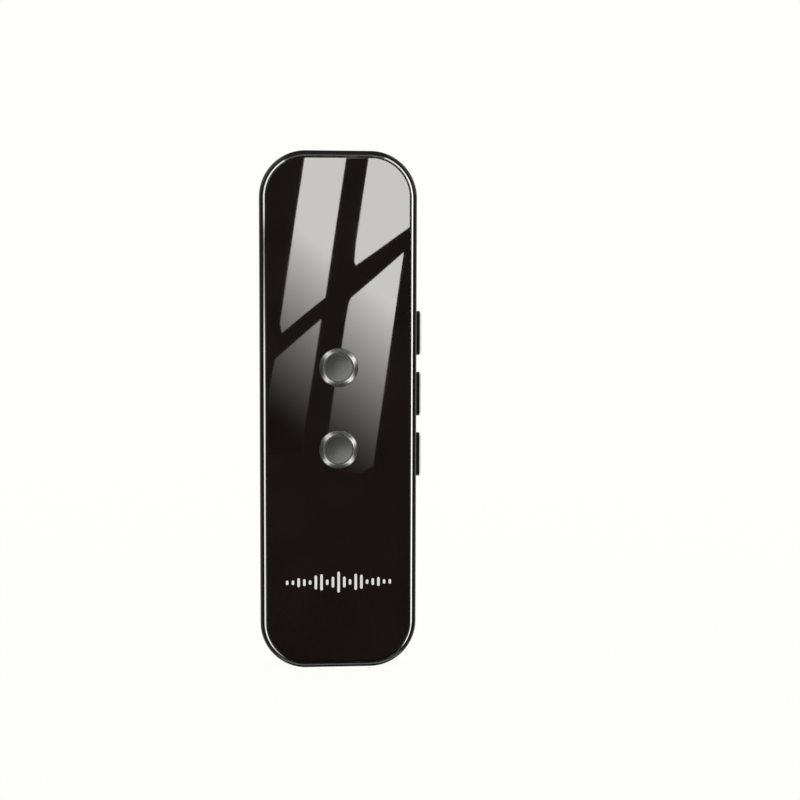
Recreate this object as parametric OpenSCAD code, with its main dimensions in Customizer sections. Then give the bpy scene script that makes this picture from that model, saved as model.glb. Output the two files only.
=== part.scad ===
// Handheld voice translator: a slim bar with a glass front, two round front keys,
// three keys on its right flank and a grey back with a speaker grille.
//
// Every piece is drawn with the device lying on its back: x across the width, y along the
// length from the bottom end, z out of the front face, 0 at mid thickness. upright() then
// stands it on its bottom end, with its front towards -Y.

/* [Body] */
// Length from the bottom end to the top end
body_length = 142; // [140:0.5:150]
// Width across the flanks, without the side keys
body_width = 43; // [43:0.5:46]
// Thickness from the glass to the back
body_thickness = 11; // [11:0.1:12]
// Radius of the four corners seen from the front
corner_radius = 12.7; // [11:0.1:13]
// Thickness of the flanks
wall = 1.8; // [1.6:0.1:1.8]
// Height at which the front frame meets the rear cover, from mid thickness
parting_level = -2; // [-2.2:0.1:-2]

/* [Front] */
// Width of the frame's rim outside the bright trim ring
rim_width = 1.1; // [1.05:0.01:1.15]
// Radius of the rim's outer edge
rim_radius = 1; // [0.6:0.1:1]
// Width of the bright trim ring
trim_width = 0.55; // [0.5:0.01:0.6]
// Gap between the trim ring and the glass
glass_gap = 0.1; // [0.05:0.01:0.15]
// Thickness of the front glass
glass_thickness = 1.15; // [1:0.05:1.3]
// Thickness of the glass adhesive
tape_thickness = 0.2; // [0.1:0.05:0.2]
// Thickness of the frame's plate behind the glass
plate_thickness = 0.95; // [0.8:0.05:1]

/* [Front keys] */
// Distance of the upper front key below the top end
upper_key_drop = 58.8; // [58:0.1:62]
// Distance from the upper front key to the lower one
front_key_pitch = 22.5; // [20:0.1:24]
// Outer radius of the turned ring around each key
key_ring_radius = 5.25; // [5.2:0.05:5.5]
// Radius of each key cap
key_cap_radius = 4.22; // [4.1:0.01:4.22]
// Running gap between a cap and its ring
key_gap = 0.08; // [0.05:0.01:0.1]
// Distance a front key travels when it is pressed
key_travel = 0.4; // [0.3:0.05:0.4]

/* [Side keys] */
// Distance of the middle side key below the top end
side_key_drop = 66.3; // [66:0.1:68]
// Distance from one side key to the next
side_key_pitch = 16.8; // [16:0.1:17]
// Length of each side key
side_key_length = 12.2; // [11:0.1:12.3]
// Breadth of each side key across the flank
side_key_breadth = 2.8; // [2.4:0.1:2.9]
// Distance a side key stands out of the flank
side_key_reach = 1.5; // [1:0.1:1.6]
// Height of the side keys' centre line, from mid thickness
side_key_level = 1.2; // [1.1:0.1:1.3]
// Clearance of a side key in its slot, all round
side_key_gap = 0.1; // [0.08:0.01:0.15]
// Distance a side key travels when it is pressed
side_key_travel = 0.3; // [0.2:0.05:0.3]

/* [Speaker grille] */
// Distance of the grille's centre below the top end
speaker_drop = 32.3; // [31:0.1:33]
// Radius of each hole in the grille
grille_hole_radius = 0.65; // [0.5:0.05:0.75]
// Pairs of hole columns: distance from the centre line, number of holes, spacing of holes
grille_columns = [[1.53, 6, 3.8], [4.45, 5, 3.16], [7.57, 3, 3.12]];
// Outer radius of the speaker
speaker_radius = 11; // [10.5:0.1:11.2]

/* [Rear cover] */
// Thickness of the rear wall
cover_thickness = 1.2; // [1:0.1:1.2]
// Radius of the cover's outer edge
cover_radius = 1.4; // [1:0.1:1.4]
// Height of the bright cut facet beside that edge
cover_facet = 0.2; // [0.1:0.05:0.2]

/* [Port] */
// Width of the charging port's shell
port_width = 8.94; // [8.9:0.01:9]
// Thickness of the charging port's shell
port_thickness = 3.16; // [3.1:0.01:3.2]
// Depth of the charging port's shell
port_depth = 7.35; // [7:0.05:7.5]
// Wall of the charging port's shell
port_wall = 0.3; // [0.25:0.01:0.3]

/* [Battery] */
// Thickness of the battery cell
battery_thickness = 3.4; // [3:0.1:3.4]

/* [Hidden] */
$fn = 64;

// A cutter runs past the face it opens by this much.
past = 1;
// A blended piece starts this far inside the wall that it grows from.
bite = 0.3;

// Places along the length, from the bottom end.
upper_key_y = body_length - upper_key_drop;
lower_key_y = upper_key_y - front_key_pitch;
side_key_y = body_length - side_key_drop;
speaker_y = body_length - speaker_drop;
screw_end_distance = 18;
flank = body_width / 2;

// Levels through the thickness, from the glass to the back.
front_level = body_thickness / 2;
rear_level = -body_thickness / 2;
glass_low = front_level - glass_thickness;
plate_top = glass_low - tape_thickness;
plate_low = plate_top - plate_thickness;
rim_level = front_level - 0.6;
trim_level = front_level - 0.2;
glass_inset = rim_width + trim_width + glass_gap;
glass_edge = 0.4;
glass_band = 1.5;
trim_chamfer = 0.45;
cover_inner = rear_level + cover_thickness;

// Main board: it lies behind the plate, on bosses.
board_thickness = 1;
board_low = 0;
board_top = board_low + board_thickness;
board_margin = wall + 0.9;
board_start = 6.5;
boss_radius = 1.9;
screw_radius = 0.8;
screw_head_radius = 1.5;
screw_head_height = 0.6;
screw_depth = 1.6;
screw_x = flank - 6;
screw_spots = [
    for (side = [-1, 1], y = [screw_end_distance, body_length - screw_end_distance]) [side * screw_x, y]
];

// Front keys: a cap on a carrier whose flange catches behind the plate.
key_bore = key_cap_radius + key_gap;
key_seat = plate_top + key_travel + 0.05;
key_face = front_level + 0.1;
key_ring_top = front_level + 0.3;
ring_bevel = 0.25;
cap_bevel = 0.2;
cap_dish = 0.25;
neck_radius = key_bore - 0.3;
flange_radius = 5.1;
flange_top = plate_low - 0.08;
flange_height = 0.6;
pad_radius = 1.3;
switch_size = 4.4;
switch_height = 0.55;
switch_well = 0.25;
dome_radius = 1.6;
dome_rise = key_travel;
dome_crown = 0.6;
dome_gap = 0.04;
dome_top = board_top + switch_height + dome_rise;

// Side keys: each slides in the right flank and presses a switch on a flex strip.
side_key_spots = [side_key_y + side_key_pitch, side_key_y, side_key_y - side_key_pitch];
side_flange_outer = flank - wall - 0.08;
side_flange_thickness = 0.7;
side_flange_margin = 0.55;
side_flange_inner = side_flange_outer - side_flange_thickness;
bracket_thickness = 0.5;
bracket_inset = 5.6;
bracket_x = flank - bracket_inset;
bracket_margin = 5.25;
bracket_length = 2 * (side_key_pitch + bracket_margin) + side_key_length;
bracket_low = -0.8;
bracket_high = 3;
flex_thickness = 0.4;
flex_x = bracket_x + bracket_thickness;
flex_length = bracket_length - bracket_margin;
flex_tail_width = 8;
flex_tail_thickness = 0.15;
flex_tail_reach = 4.6;
flex_connector_width = 2.6;
side_switch_x = flex_x + flex_thickness;
side_switch_height = 0.7;
side_switch_size = 3.4;
side_dome_radius = 1.2;
side_dome_rise = side_key_travel + 0.05;
side_dome_tip = side_switch_x + side_switch_height + side_dome_rise;
plunger_radius = 0.9;
rib_length = 3.5;
rib_reach = 2;
rib_wrap = 0.9;
rib_low = -1;
notch_margin = 1;
notch_depth = 1.1;
notch_half = bracket_length / 2 + rib_length - rib_reach + notch_margin;

// Rear cover: a lip with snap hooks goes up inside the frame's flanks.
lip_gap = 0.1;
lip_thickness = 0.9;
lip_level = -0.9;
hook_length = 6;
hook_reach = 0.35;
hook_low = -1.6;
hook_high = -1.1;
hook_clearance = 0.1;
hook_left = [0.2, 0.5, 0.8] * body_length;
hook_right = [0.2, 0.8] * body_length;
speaker_rib_thickness = 0.9;
speaker_rib_gap = 0.1;
speaker_rib_top = cover_inner + 1.8;

// Speaker, from the grille towards the front.
mesh_thickness = 0.1;
gasket_thickness = 0.3;
speaker_rim = cover_inner + mesh_thickness + gasket_thickness;
speaker_rim_width = 1.2;
speaker_mouth_radius = speaker_radius - speaker_rim_width;
magnet_radius = 6.2;
basket_height = 2.7;
basket_top = speaker_rim + basket_height;
basket_floor = 0.6;
magnet_rise = 1.3;
magnet_room = 0.3;
magnet_low = speaker_rim + magnet_rise;
magnet_top = board_low - magnet_room;
cone_thickness = 0.15;
cone_rim = speaker_rim + 0.35;
cone_waist = speaker_rim + 1;
cone_waist_radius = 3.2;
surround_width = 2;
cone_edge_radius = speaker_mouth_radius - surround_width;
speaker_wire_gap = 2.4;
speaker_wire_bend = 1.4;
speaker_wire_reach = 2.4;

// Charging port, let half into the board's bottom edge.
port_level = (board_low + board_top) / 2;
port_start = 0.4;
port_gap = 0.12;
port_tongue = [6.69, 5, 0.7];
port_back = 0.6;

// Microphone capsule in its boot, behind a hole in the bottom end.
microphone_radius = 1.75;
microphone_length = 1.5;
microphone_hole = 0.6;
boot_wall = 0.45;
boot_length = 3;
boot_lip = 0.8;
boot_radius = microphone_radius + boot_wall;
microphone_x = port_width / 2 + port_gap + boot_radius;
// The boot starts where it meets the inner face of the rounded corner.
inner_corner = corner_radius - wall;
boot_overhang = max(0, microphone_x + boot_radius - flank + corner_radius);
boot_start = wall + inner_corner - sqrt(pow(inner_corner, 2) - pow(boot_overhang, 2));

// Battery, taped to the back of the board between the lower screws and the speaker.
battery_left = 5 - flank;
battery_right = flex_x - flex_tail_reach - 0.3;
battery_width = battery_right - battery_left;
battery_x = (battery_left + battery_right) / 2;
battery_top = board_low - 0.5;
battery_low = battery_top - battery_thickness;
tape_side = 3;
tape_end = 4;
connector_size = [6, 3.4, 1.9];
connector_y = speaker_y - speaker_radius - speaker_rib_gap - speaker_rib_thickness
    - connector_size[1] / 2 - 0.7;
connector_spot = [battery_x - 6.2, connector_y];
connector_start = connector_y - connector_size[1] / 2;
protector_size = [battery_width - 4, 3.5, 1.6];
protector_low = battery_low + 0.9;
battery_wire_room = 3.1;
battery_wire_gap = 2.4;
battery_wire_climb = 0.9;
battery_start = screw_end_distance + 9;
battery_end = connector_start - battery_wire_room - protector_size[1];
battery_length = battery_end - battery_start;
wire_radius = 0.35;

// Parts on the board: a spot is the centre in plan, a size is width, length and height.
processor_spot = [-6, speaker_y - 8.7];
processor_size = [9, 9, 1];
memory_spot = [6, speaker_y - 8.7];
memory_size = [7, 5.5, 0.8];
shield_spot = [-6, speaker_y + 7.3];
shield_size = [13, 11, 1.8];
shield_wall = 0.2;
wireless_size = [6, 6, 0.9];
crystal_spot = [4.5, speaker_y + 4.3];
crystal_size = [3.2, 2.5, 0.7];
antenna_spot = [0, body_length - 8];
antenna_size = [6, 2, 1.2];
charger_spot = [-5, screw_end_distance + 6];
charger_size = [3, 3, 0.8];
inductor_spot = [-11, screw_end_distance + 6];
inductor_size = [4, 4, 1.8];
amplifier_spot = [7, speaker_y + 11.3];
amplifier_size = [3, 3, 0.8];
capacitor_size = [0.8, 1.6, 0.8];
capacitor_pitch = 1.6;
// Rows of capacitors: x of the first one, y of the row, number in the row
capacitor_rows = [
    [-12, speaker_y - 16.7, 7],
    [2, speaker_y - 16.2, 6],
    [3, speaker_y - 0.7, 5],
    [-8, screw_end_distance + 13, 7],
    [4, screw_end_distance + 18, 5]
];

// ---- shared shapes ----

// Stands a piece drawn on its back upright, with its front towards -Y.
module upright() {
    rotate([90, 0, 0]) children();
}

// Quarter of a disc, in the corner where x and y are positive.
module quarter_disc(r) {
    intersection() {
        circle(r);
        square(r);
    }
}

// Plan of the body, moved in from its outline by inset.
module body_outline(inset) {
    r = corner_radius - inset;
    w = body_width - 2 * inset;
    l = body_length - 2 * inset;
    translate([0, body_length / 2]) {
        square([w - 2 * r, l], center = true);
        square([w, l - 2 * r], center = true);
        for (side = [-1, 1], end = [-1, 1])
            translate([side * (w / 2 - r), end * (l / 2 - r)]) circle(r);
    }
}

// Flat plate with the plan of the body.
module body_plate(inset, low, high) {
    translate([0, 0, low]) linear_extrude(high - low) body_outline(inset);
}

// Band that follows the body's outline. Its section is the child shape, drawn with x = 0 on
// the outline, x negative inwards, and y as the level.
module around_body() {
    half_w = body_width / 2 - corner_radius;
    half_l = body_length / 2 - corner_radius;
    translate([0, body_length / 2, 0])
        for (turn = [0 : 3]) {
            run = turn % 2 == 0 ? half_l : half_w;
            away = turn % 2 == 0 ? half_w : half_l;
            rotate([0, 0, 90 * turn]) translate([away, run, 0]) {
                rotate([90, 0, 0]) linear_extrude(2 * run) translate([corner_radius, 0]) children();
                rotate_extrude(angle = 90) translate([corner_radius, 0]) children();
            }
        }
}

// Box centred on a spot of the plan.
module block(spot, size, low) {
    translate([spot[0] - size[0] / 2, spot[1] - size[1] / 2, low]) cube(size);
}

// Cylinder on a spot of the plan, between two levels.
module post(spot, r, low, high) {
    translate([spot[0], spot[1], low]) cylinder(h = high - low, r = r);
}

// Slot-shaped bar along x, rounded at both ends of its length along y.
module flank_bar(y, x_low, x_high, bar_length, breadth) {
    translate([x_low, y, side_key_level]) rotate([90, 0, 90])
        linear_extrude(x_high - x_low) slot(bar_length, breadth);
}

// Slot shape: a bar with two round ends.
module slot(bar_length, breadth) {
    square([bar_length - breadth, breadth], center = true);
    for (end = [-1, 1]) translate([end * (bar_length - breadth) / 2, 0]) circle(breadth / 2);
}

// Bar with the charging port's section, from the bottom end inwards.
module port_bar(grow, start, end) {
    translate([0, end, port_level]) rotate([90, 0, 0])
        linear_extrude(end - start) slot(port_width + 2 * grow, port_thickness + 2 * grow);
}

// Round wire from point to point.
module wire(points) {
    for (i = [0 : len(points) - 2]) {
        step = points[i + 1] - points[i];
        reach = norm(step);
        translate(points[i]) rotate([0, acos(step[2] / reach), atan2(step[1], step[0])])
            cylinder(h = reach, r = wire_radius);
    }
    for (i = [1 : len(points) - 2]) translate(points[i]) sphere(wire_radius * 1.05);
}

// ---- casing ----

// Section of the frame's flank: a rim with a round outer edge, and a step for the trim ring.
module frame_section() {
    translate([-wall, parting_level]) square([wall - rim_width, plate_top - parting_level]);
    translate([-rim_width, parting_level])
        square([rim_width, rim_level - rim_radius - parting_level]);
    translate([-rim_width, rim_level - rim_radius]) square([rim_width - rim_radius, rim_radius]);
    translate([-rim_radius, rim_level - rim_radius]) quarter_disc(rim_radius);
}

// Two blocks on the right flank whose slots hold the ends of the side key bracket.
module bracket_ribs() {
    rib_size = [flank - wall - bracket_x + rib_wrap + bite, rib_length, plate_low - rib_low + bite];
    rib_y = bracket_length / 2 + rib_length / 2 - rib_reach;
    for (end = [-1, 1])
        translate([bracket_x - rib_wrap, side_key_y + end * rib_y - rib_length / 2, rib_low])
            cube(rib_size);
}

// Pockets in the flanks that the rear cover's hooks snap into.
module hook_pockets() {
    for (side = [-1, 1], y = side < 0 ? hook_left : hook_right)
        translate([side * (flank - wall) - hook_reach - hook_clearance,
            y - hook_length / 2 - hook_clearance, hook_low - hook_clearance])
            cube([2 * (hook_reach + hook_clearance), hook_length + 2 * hook_clearance,
                hook_high - hook_low + 2 * hook_clearance]);
}

module front_frame() {
    color("#151515") upright() difference() {
        union() {
            around_body() frame_section();
            body_plate(wall - bite, plate_low, plate_top);
            for (spot = screw_spots) post(spot, boss_radius, board_top, plate_low + bite);
            bracket_ribs();
        }
        for (y = [upper_key_y, lower_key_y]) post([0, y], key_bore, plate_low - past, plate_top + past);
        for (y = side_key_spots)
            flank_bar(y, flank - wall - past, flank + past,
                side_key_length + 2 * side_key_gap, side_key_breadth + 2 * side_key_gap);
        for (spot = screw_spots) post(spot, screw_radius, board_top - past, board_top + screw_depth);
        port_bar(port_gap, -past, wall + past);
        translate([microphone_x, wall + past, port_level]) rotate([90, 0, 0])
            cylinder(h = wall + 2 * past, r = microphone_hole);
        translate([bracket_x, side_key_y - bracket_length / 2, bracket_low])
            cube([bracket_thickness, bracket_length, bracket_high - bracket_low]);
        hook_pockets();
    }
}

// Bright ring between rim and glass, with a chamfer that faces outwards.
module trim_ring() {
    color("silver") upright() around_body() polygon([
        [-rim_width - trim_width, plate_top],
        [-rim_width, plate_top],
        [-rim_width, trim_level - trim_chamfer],
        [-rim_width - trim_chamfer, trim_level],
        [-rim_width - trim_width, trim_level]
    ]);
}

// Section of the glass's border, with its front edge rounded.
module glass_section() {
    translate([-glass_inset - glass_band, glass_low])
        square([glass_band, glass_thickness - glass_edge]);
    translate([-glass_inset - glass_band, front_level - glass_edge])
        square([glass_band - glass_edge, glass_edge]);
    translate([-glass_inset - glass_edge, front_level - glass_edge]) quarter_disc(glass_edge);
}

module front_glass() {
    ring_gap = 0.05;
    color("#1b1412") upright() difference() {
        union() {
            around_body() glass_section();
            body_plate(glass_inset + glass_band - bite, glass_low, front_level);
        }
        for (y = [upper_key_y, lower_key_y])
            post([0, y], key_ring_radius + ring_gap, glass_low - past, front_level + past);
    }
}

module glass_tape() {
    tape_margin = 0.4;
    color("#303030") upright() difference() {
        body_plate(glass_inset + tape_margin, plate_top, glass_low);
        for (y = [upper_key_y, lower_key_y])
            post([0, y], key_ring_radius + tape_margin, plate_top - past, glass_low + past);
    }
}

// Section of the rear cover's flank: a round outer edge with a bright cut facet beside it.
module cover_section() {
    edge_level = rear_level + cover_facet + cover_radius;
    translate([-wall, edge_level]) square([wall, parting_level - edge_level]);
    translate([-cover_radius, edge_level]) mirror([0, 1]) quarter_disc(cover_radius);
    polygon([
        [-wall, edge_level],
        [-cover_radius, edge_level],
        [-cover_radius, rear_level + cover_facet],
        [-cover_radius - cover_facet, rear_level],
        [-wall, rear_level]
    ]);
}

// Hooks on the lip's outer side.
module cover_hooks() {
    for (side = [-1, 1], y = side < 0 ? hook_left : hook_right)
        translate([side * (flank - wall) - hook_reach, y - hook_length / 2, hook_low])
            cube([2 * hook_reach, hook_length, hook_high - hook_low]);
}

// Gaps in the lip beside the side keys, the charging port and the microphone.
module lip_gaps() {
    translate([0, side_key_y - notch_half, parting_level])
        cube([body_width, 2 * notch_half, front_level]);
    translate([-port_width / 2 - past, 0, parting_level - bite])
        cube([port_width / 2 + microphone_x + boot_radius + 2 * past, board_start, front_level]);
}

module rear_cover() {
    color("#8f8785") upright() difference() {
        union() {
            around_body() cover_section();
            body_plate(wall - bite, rear_level, cover_inner);
            difference() {
                around_body() translate([-wall - lip_gap - lip_thickness, cover_inner - bite])
                    square([lip_thickness, lip_level - cover_inner + bite]);
                lip_gaps();
            }
            cover_hooks();
            around_body() translate([-wall - lip_gap - bite, cover_inner - bite])
                square([lip_gap + 2 * bite, parting_level - lip_gap - cover_inner + bite]);
            difference() {
                post([0, speaker_y], speaker_radius + speaker_rib_gap + speaker_rib_thickness,
                    cover_inner - bite, speaker_rib_top);
                post([0, speaker_y], speaker_radius + speaker_rib_gap, cover_inner,
                    speaker_rib_top + past);
            }
        }
        for (column = grille_columns, side = [-1, 1], i = [0 : column[1] - 1])
            post([side * column[0], speaker_y + (i - (column[1] - 1) / 2) * column[2]],
                grille_hole_radius, rear_level - past, cover_inner + past);
    }
}

// ---- front keys ----

// Turned ring around a front key, seated on the frame's plate.
module key_ring(y) {
    color("#9a9a9a") upright() translate([0, y, 0]) rotate_extrude() polygon([
        [key_bore, plate_top],
        [key_ring_radius, plate_top],
        [key_ring_radius, key_ring_top - ring_bevel],
        [key_ring_radius - ring_bevel, key_ring_top],
        [key_bore + ring_bevel, key_ring_top],
        [key_bore, key_ring_top - ring_bevel]
    ]);
}

// Metal cap, dished on its face.
module key_cap(y) {
    color("#6a6a68") upright() translate([0, y, 0]) rotate_extrude() polygon([
        [0, key_seat],
        [key_cap_radius, key_seat],
        [key_cap_radius, key_face - cap_bevel],
        [key_cap_radius - cap_bevel, key_face],
        [key_cap_radius - 2 * cap_bevel, key_face],
        [0, key_face - cap_dish]
    ]);
}

// Plastic carrier: a neck under the cap and a flange that catches behind the plate.
module key_carrier(y) {
    color("#202020") upright() {
        post([0, y], neck_radius, flange_top - flange_height, key_seat);
        post([0, y], flange_radius, flange_top - flange_height, flange_top);
    }
}

// Rubber pad that pushes the switch.
module key_pad(y) {
    color("#5a5a5a") upright()
        post([0, y], pad_radius, dome_top + dome_gap, flange_top - flange_height);
}

// Housing of a front key's switch: a square block with a round well for the dome.
module switch_base(y) {
    rim = 0.15;
    switch_top = board_top + switch_height;
    color("#222222") upright() difference() {
        block([0, y], [switch_size, switch_size, switch_height], board_top);
        post([0, y], dome_radius + rim, switch_top - switch_well, switch_top + past);
    }
}

// Sprung steel dome of a front key's switch, drawn as a solid cone without its tip.
module switch_dome(y) {
    foot = board_top + switch_height - switch_well;
    color("silver") upright() translate([0, y, foot])
        cylinder(h = dome_top - foot, r1 = dome_radius, r2 = dome_radius * dome_crown);
}

module upper_key_ring() { key_ring(upper_key_y); }
module lower_key_ring() { key_ring(lower_key_y); }
module upper_key_cap() { key_cap(upper_key_y); }
module lower_key_cap() { key_cap(lower_key_y); }
module upper_key_carrier() { key_carrier(upper_key_y); }
module lower_key_carrier() { key_carrier(lower_key_y); }
module upper_key_pad() { key_pad(upper_key_y); }
module lower_key_pad() { key_pad(lower_key_y); }
module upper_switch_base() { switch_base(upper_key_y); }
module lower_switch_base() { switch_base(lower_key_y); }
module upper_switch_dome() { switch_dome(upper_key_y); }
module lower_switch_dome() { switch_dome(lower_key_y); }

// ---- side keys ----

// Side key: a bar through the flank with a flange that catches behind it.
module side_key(y) {
    tip = 0.3;
    color("#181818") upright() {
        flank_bar(y, side_flange_inner, flank + side_key_reach - tip, side_key_length, side_key_breadth);
        flank_bar(y, flank + side_key_reach - tip, flank + side_key_reach,
            side_key_length - tip, side_key_breadth - tip);
        flank_bar(y, side_flange_inner, side_flange_outer,
            side_key_length + 2 * side_flange_margin, side_key_breadth + 2 * side_flange_margin);
    }
}

// Rubber nub between a side key and its switch.
module side_plunger(y) {
    color("#5a5a5a") upright() translate([side_dome_tip + dome_gap, y, side_key_level])
        rotate([0, 90, 0])
            cylinder(h = side_flange_inner - side_dome_tip - dome_gap, r = plunger_radius);
}

// Sprung steel dome of a side switch, drawn as a solid cone without its tip.
module side_dome(y) {
    color("silver") upright() translate([side_switch_x + side_switch_height, y, side_key_level])
        rotate([0, 90, 0])
            cylinder(h = side_dome_rise, r1 = side_dome_radius, r2 = side_dome_radius * dome_crown);
}

module side_switch_bases() {
    color("#222222") upright()
        for (y = side_key_spots)
            translate([side_switch_x, y - side_switch_size / 2, side_key_level - side_switch_size / 2])
                cube([side_switch_height, side_switch_size, side_switch_size]);
}

// Steel strip behind the side switches, held at both ends by the frame's ribs.
module side_key_bracket() {
    color("lightgray") upright()
        translate([bracket_x, side_key_y - bracket_length / 2, bracket_low])
            cube([bracket_thickness, bracket_length, bracket_high - bracket_low]);
}

// Flex strip that carries the side switches, with a tail under the bracket to the board.
module side_key_flex() {
    tail_level = bracket_low - flex_tail_thickness;
    color("#b5651d") upright() {
        translate([flex_x, side_key_y - flex_length / 2, tail_level])
            cube([flex_thickness, flex_length, bracket_high - tail_level]);
        translate([flex_x - flex_tail_reach, side_key_y - flex_tail_width / 2, tail_level])
            cube([flex_tail_reach + flex_thickness, flex_tail_width, flex_tail_thickness]);
    }
}

module flex_connector() {
    color("#e8e4d8") upright()
        translate([flex_x - flex_tail_reach, side_key_y - flex_tail_width / 2, bracket_low])
            cube([flex_connector_width, flex_tail_width, board_low - bracket_low]);
}

module top_side_key() { side_key(side_key_spots[0]); }
module middle_side_key() { side_key(side_key_spots[1]); }
module bottom_side_key() { side_key(side_key_spots[2]); }
module top_side_plunger() { side_plunger(side_key_spots[0]); }
module middle_side_plunger() { side_plunger(side_key_spots[1]); }
module bottom_side_plunger() { side_plunger(side_key_spots[2]); }
module top_side_dome() { side_dome(side_key_spots[0]); }
module middle_side_dome() { side_dome(side_key_spots[1]); }
module bottom_side_dome() { side_dome(side_key_spots[2]); }

// ---- board ----

module main_board() {
    screw_gap = 0.2;
    color("#14532d") upright() difference() {
        body_plate(board_margin, board_low, board_top);
        translate([-body_width / 2, 0, board_low - past])
            cube([body_width, board_start, board_thickness + 2 * past]);
        translate([bracket_x - notch_depth, side_key_y - notch_half, board_low - past])
            cube([body_width, 2 * notch_half, board_thickness + 2 * past]);
        port_bar(port_gap, 0, port_start + port_depth + port_gap);
        for (spot = screw_spots) post(spot, screw_radius + screw_gap, board_low - past, board_top + past);
    }
}

module board_screws() {
    color("silver") upright()
        for (spot = screw_spots) {
            post(spot, screw_head_radius, board_low - screw_head_height, board_low);
            post(spot, screw_radius, board_low - bite, board_top + screw_depth);
        }
}

module processor() { color("#1c1c20") upright() block(processor_spot, processor_size, board_top); }

module memory_chip() { color("#1c1c20") upright() block(memory_spot, memory_size, board_top); }

module wireless_chip() { color("#1c1c20") upright() block(shield_spot, wireless_size, board_top); }

// Pressed metal can over the wireless chip, open towards the board.
module shield_can() {
    inner = [shield_size[0] - 2 * shield_wall, shield_size[1] - 2 * shield_wall, shield_size[2]];
    color("#c8c8c8") upright() difference() {
        block(shield_spot, shield_size, board_top);
        block(shield_spot, inner, board_top - shield_wall);
    }
}

module charger_chip() { color("#1c1c20") upright() block(charger_spot, charger_size, board_top); }

module amplifier_chip() { color("#1c1c20") upright() block(amplifier_spot, amplifier_size, board_top); }

module crystal() { color("#d0d0d0") upright() block(crystal_spot, crystal_size, board_top); }

module power_inductor() { color("#3a3a3a") upright() block(inductor_spot, inductor_size, board_top); }

module board_capacitors() {
    color("#a98b5f") upright()
        for (row = capacitor_rows, i = [0 : row[2] - 1])
            block([row[0] + i * capacitor_pitch, row[1]], capacitor_size, board_top);
}

module chip_antenna() { color("#e6e6e6") upright() block(antenna_spot, antenna_size, board_top); }

// ---- charging port and microphone ----

module usb_shell() {
    color("#c0c0c0") upright() difference() {
        port_bar(0, port_start, port_start + port_depth);
        port_bar(-port_wall, port_start - past, port_start + port_depth - port_back);
    }
}

module usb_tongue() {
    tongue_y = port_start + port_depth - port_back - port_tongue[1] / 2;
    color("#1a1a1a") upright() block([0, tongue_y], port_tongue, port_level - port_tongue[2] / 2);
}

// Rubber boot: a tube with a lip at its mouth, pressed against the bottom end's wall.
module microphone_boot() {
    color("#2a2a2a") upright() translate([microphone_x, boot_start + boot_length, port_level])
        rotate([90, 0, 0]) difference() {
            cylinder(h = boot_length, r = boot_radius);
            translate([0, 0, -past]) cylinder(h = boot_length - boot_lip + past, r = microphone_radius);
            cylinder(h = boot_length + past, r = microphone_hole);
        }
}

module microphone() {
    color("#b8b8b8") upright()
        translate([microphone_x, boot_start + boot_lip + microphone_length, port_level])
            rotate([90, 0, 0]) cylinder(h = microphone_length, r = microphone_radius);
}

// ---- battery ----

// Pouch cell with round flanks.
module battery_cell() {
    color("#b9bcc0") upright()
        translate([battery_x, battery_end, (battery_low + battery_top) / 2]) rotate([90, 0, 0])
            linear_extrude(battery_length) slot(battery_width, battery_thickness);
}

module battery_protector() {
    color("#c9a227") upright()
        block([battery_x, battery_end + protector_size[1] / 2], protector_size, protector_low);
}

module battery_tape() {
    tape_size = [battery_width - 2 * tape_side, battery_length - 2 * tape_end, board_low - battery_top];
    color("#f2f2f2") upright()
        block([battery_x, battery_start + battery_length / 2], tape_size, battery_top);
}

module battery_wires() {
    start = battery_end + protector_size[1];
    level = protector_low + protector_size[2] / 2;
    color("#b01818") upright()
        for (side = [-1, 1]) {
            x = connector_spot[0] + side * battery_wire_gap / 2;
            wire([
                [x, start - bite, level],
                [x, start + 1, level],
                [x, start + 2, level + battery_wire_climb],
                [x, connector_start + bite, level + battery_wire_climb]
            ]);
        }
}

module battery_connector() {
    color("#efe9dc") upright() block(connector_spot, connector_size, board_low - connector_size[2]);
}

// ---- speaker ----

// Puts a turned piece on the speaker's axis.
module on_speaker() {
    translate([0, speaker_y, 0]) rotate_extrude() children();
}

module speaker_frame() {
    color("#2b2b2b") upright() on_speaker() polygon([
        [speaker_mouth_radius, speaker_rim],
        [speaker_radius, speaker_rim],
        [speaker_radius, basket_top],
        [magnet_radius, basket_top],
        [magnet_radius, basket_top - basket_floor],
        [speaker_mouth_radius, basket_top - basket_floor]
    ]);
}

module speaker_magnet() {
    color("#8c8c8c") upright() post([0, speaker_y], magnet_radius, magnet_low, magnet_top);
}

// Cone and surround as one thin shell: a flat rim, a slope and a domed centre.
module speaker_cone() {
    color("#3c3c3c") upright() on_speaker() polygon([
        [0, cone_rim],
        [cone_waist_radius, cone_waist],
        [cone_edge_radius, cone_rim],
        [speaker_mouth_radius, cone_rim],
        [speaker_mouth_radius, cone_rim + cone_thickness],
        [cone_edge_radius, cone_rim + cone_thickness],
        [cone_waist_radius, cone_waist + cone_thickness],
        [0, cone_rim + cone_thickness]
    ]);
}

module speaker_gasket() {
    color("#1f1f1f") upright() on_speaker()
        translate([speaker_mouth_radius, cover_inner + mesh_thickness])
            square([speaker_radius - speaker_mouth_radius, gasket_thickness]);
}

module speaker_mesh() {
    color("#0c0c0c") upright()
        post([0, speaker_y], speaker_radius, cover_inner, cover_inner + mesh_thickness);
}

module speaker_wires() {
    level = basket_top - basket_floor / 2;
    color("#202020") upright()
        for (side = [-1, 1]) {
            y = speaker_y + side * speaker_wire_gap / 2;
            wire([
                [-speaker_radius + bite, y, level],
                [-speaker_radius - speaker_wire_bend, y, level],
                [-speaker_radius - speaker_wire_reach, y, board_low]
            ]);
        }
}

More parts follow.
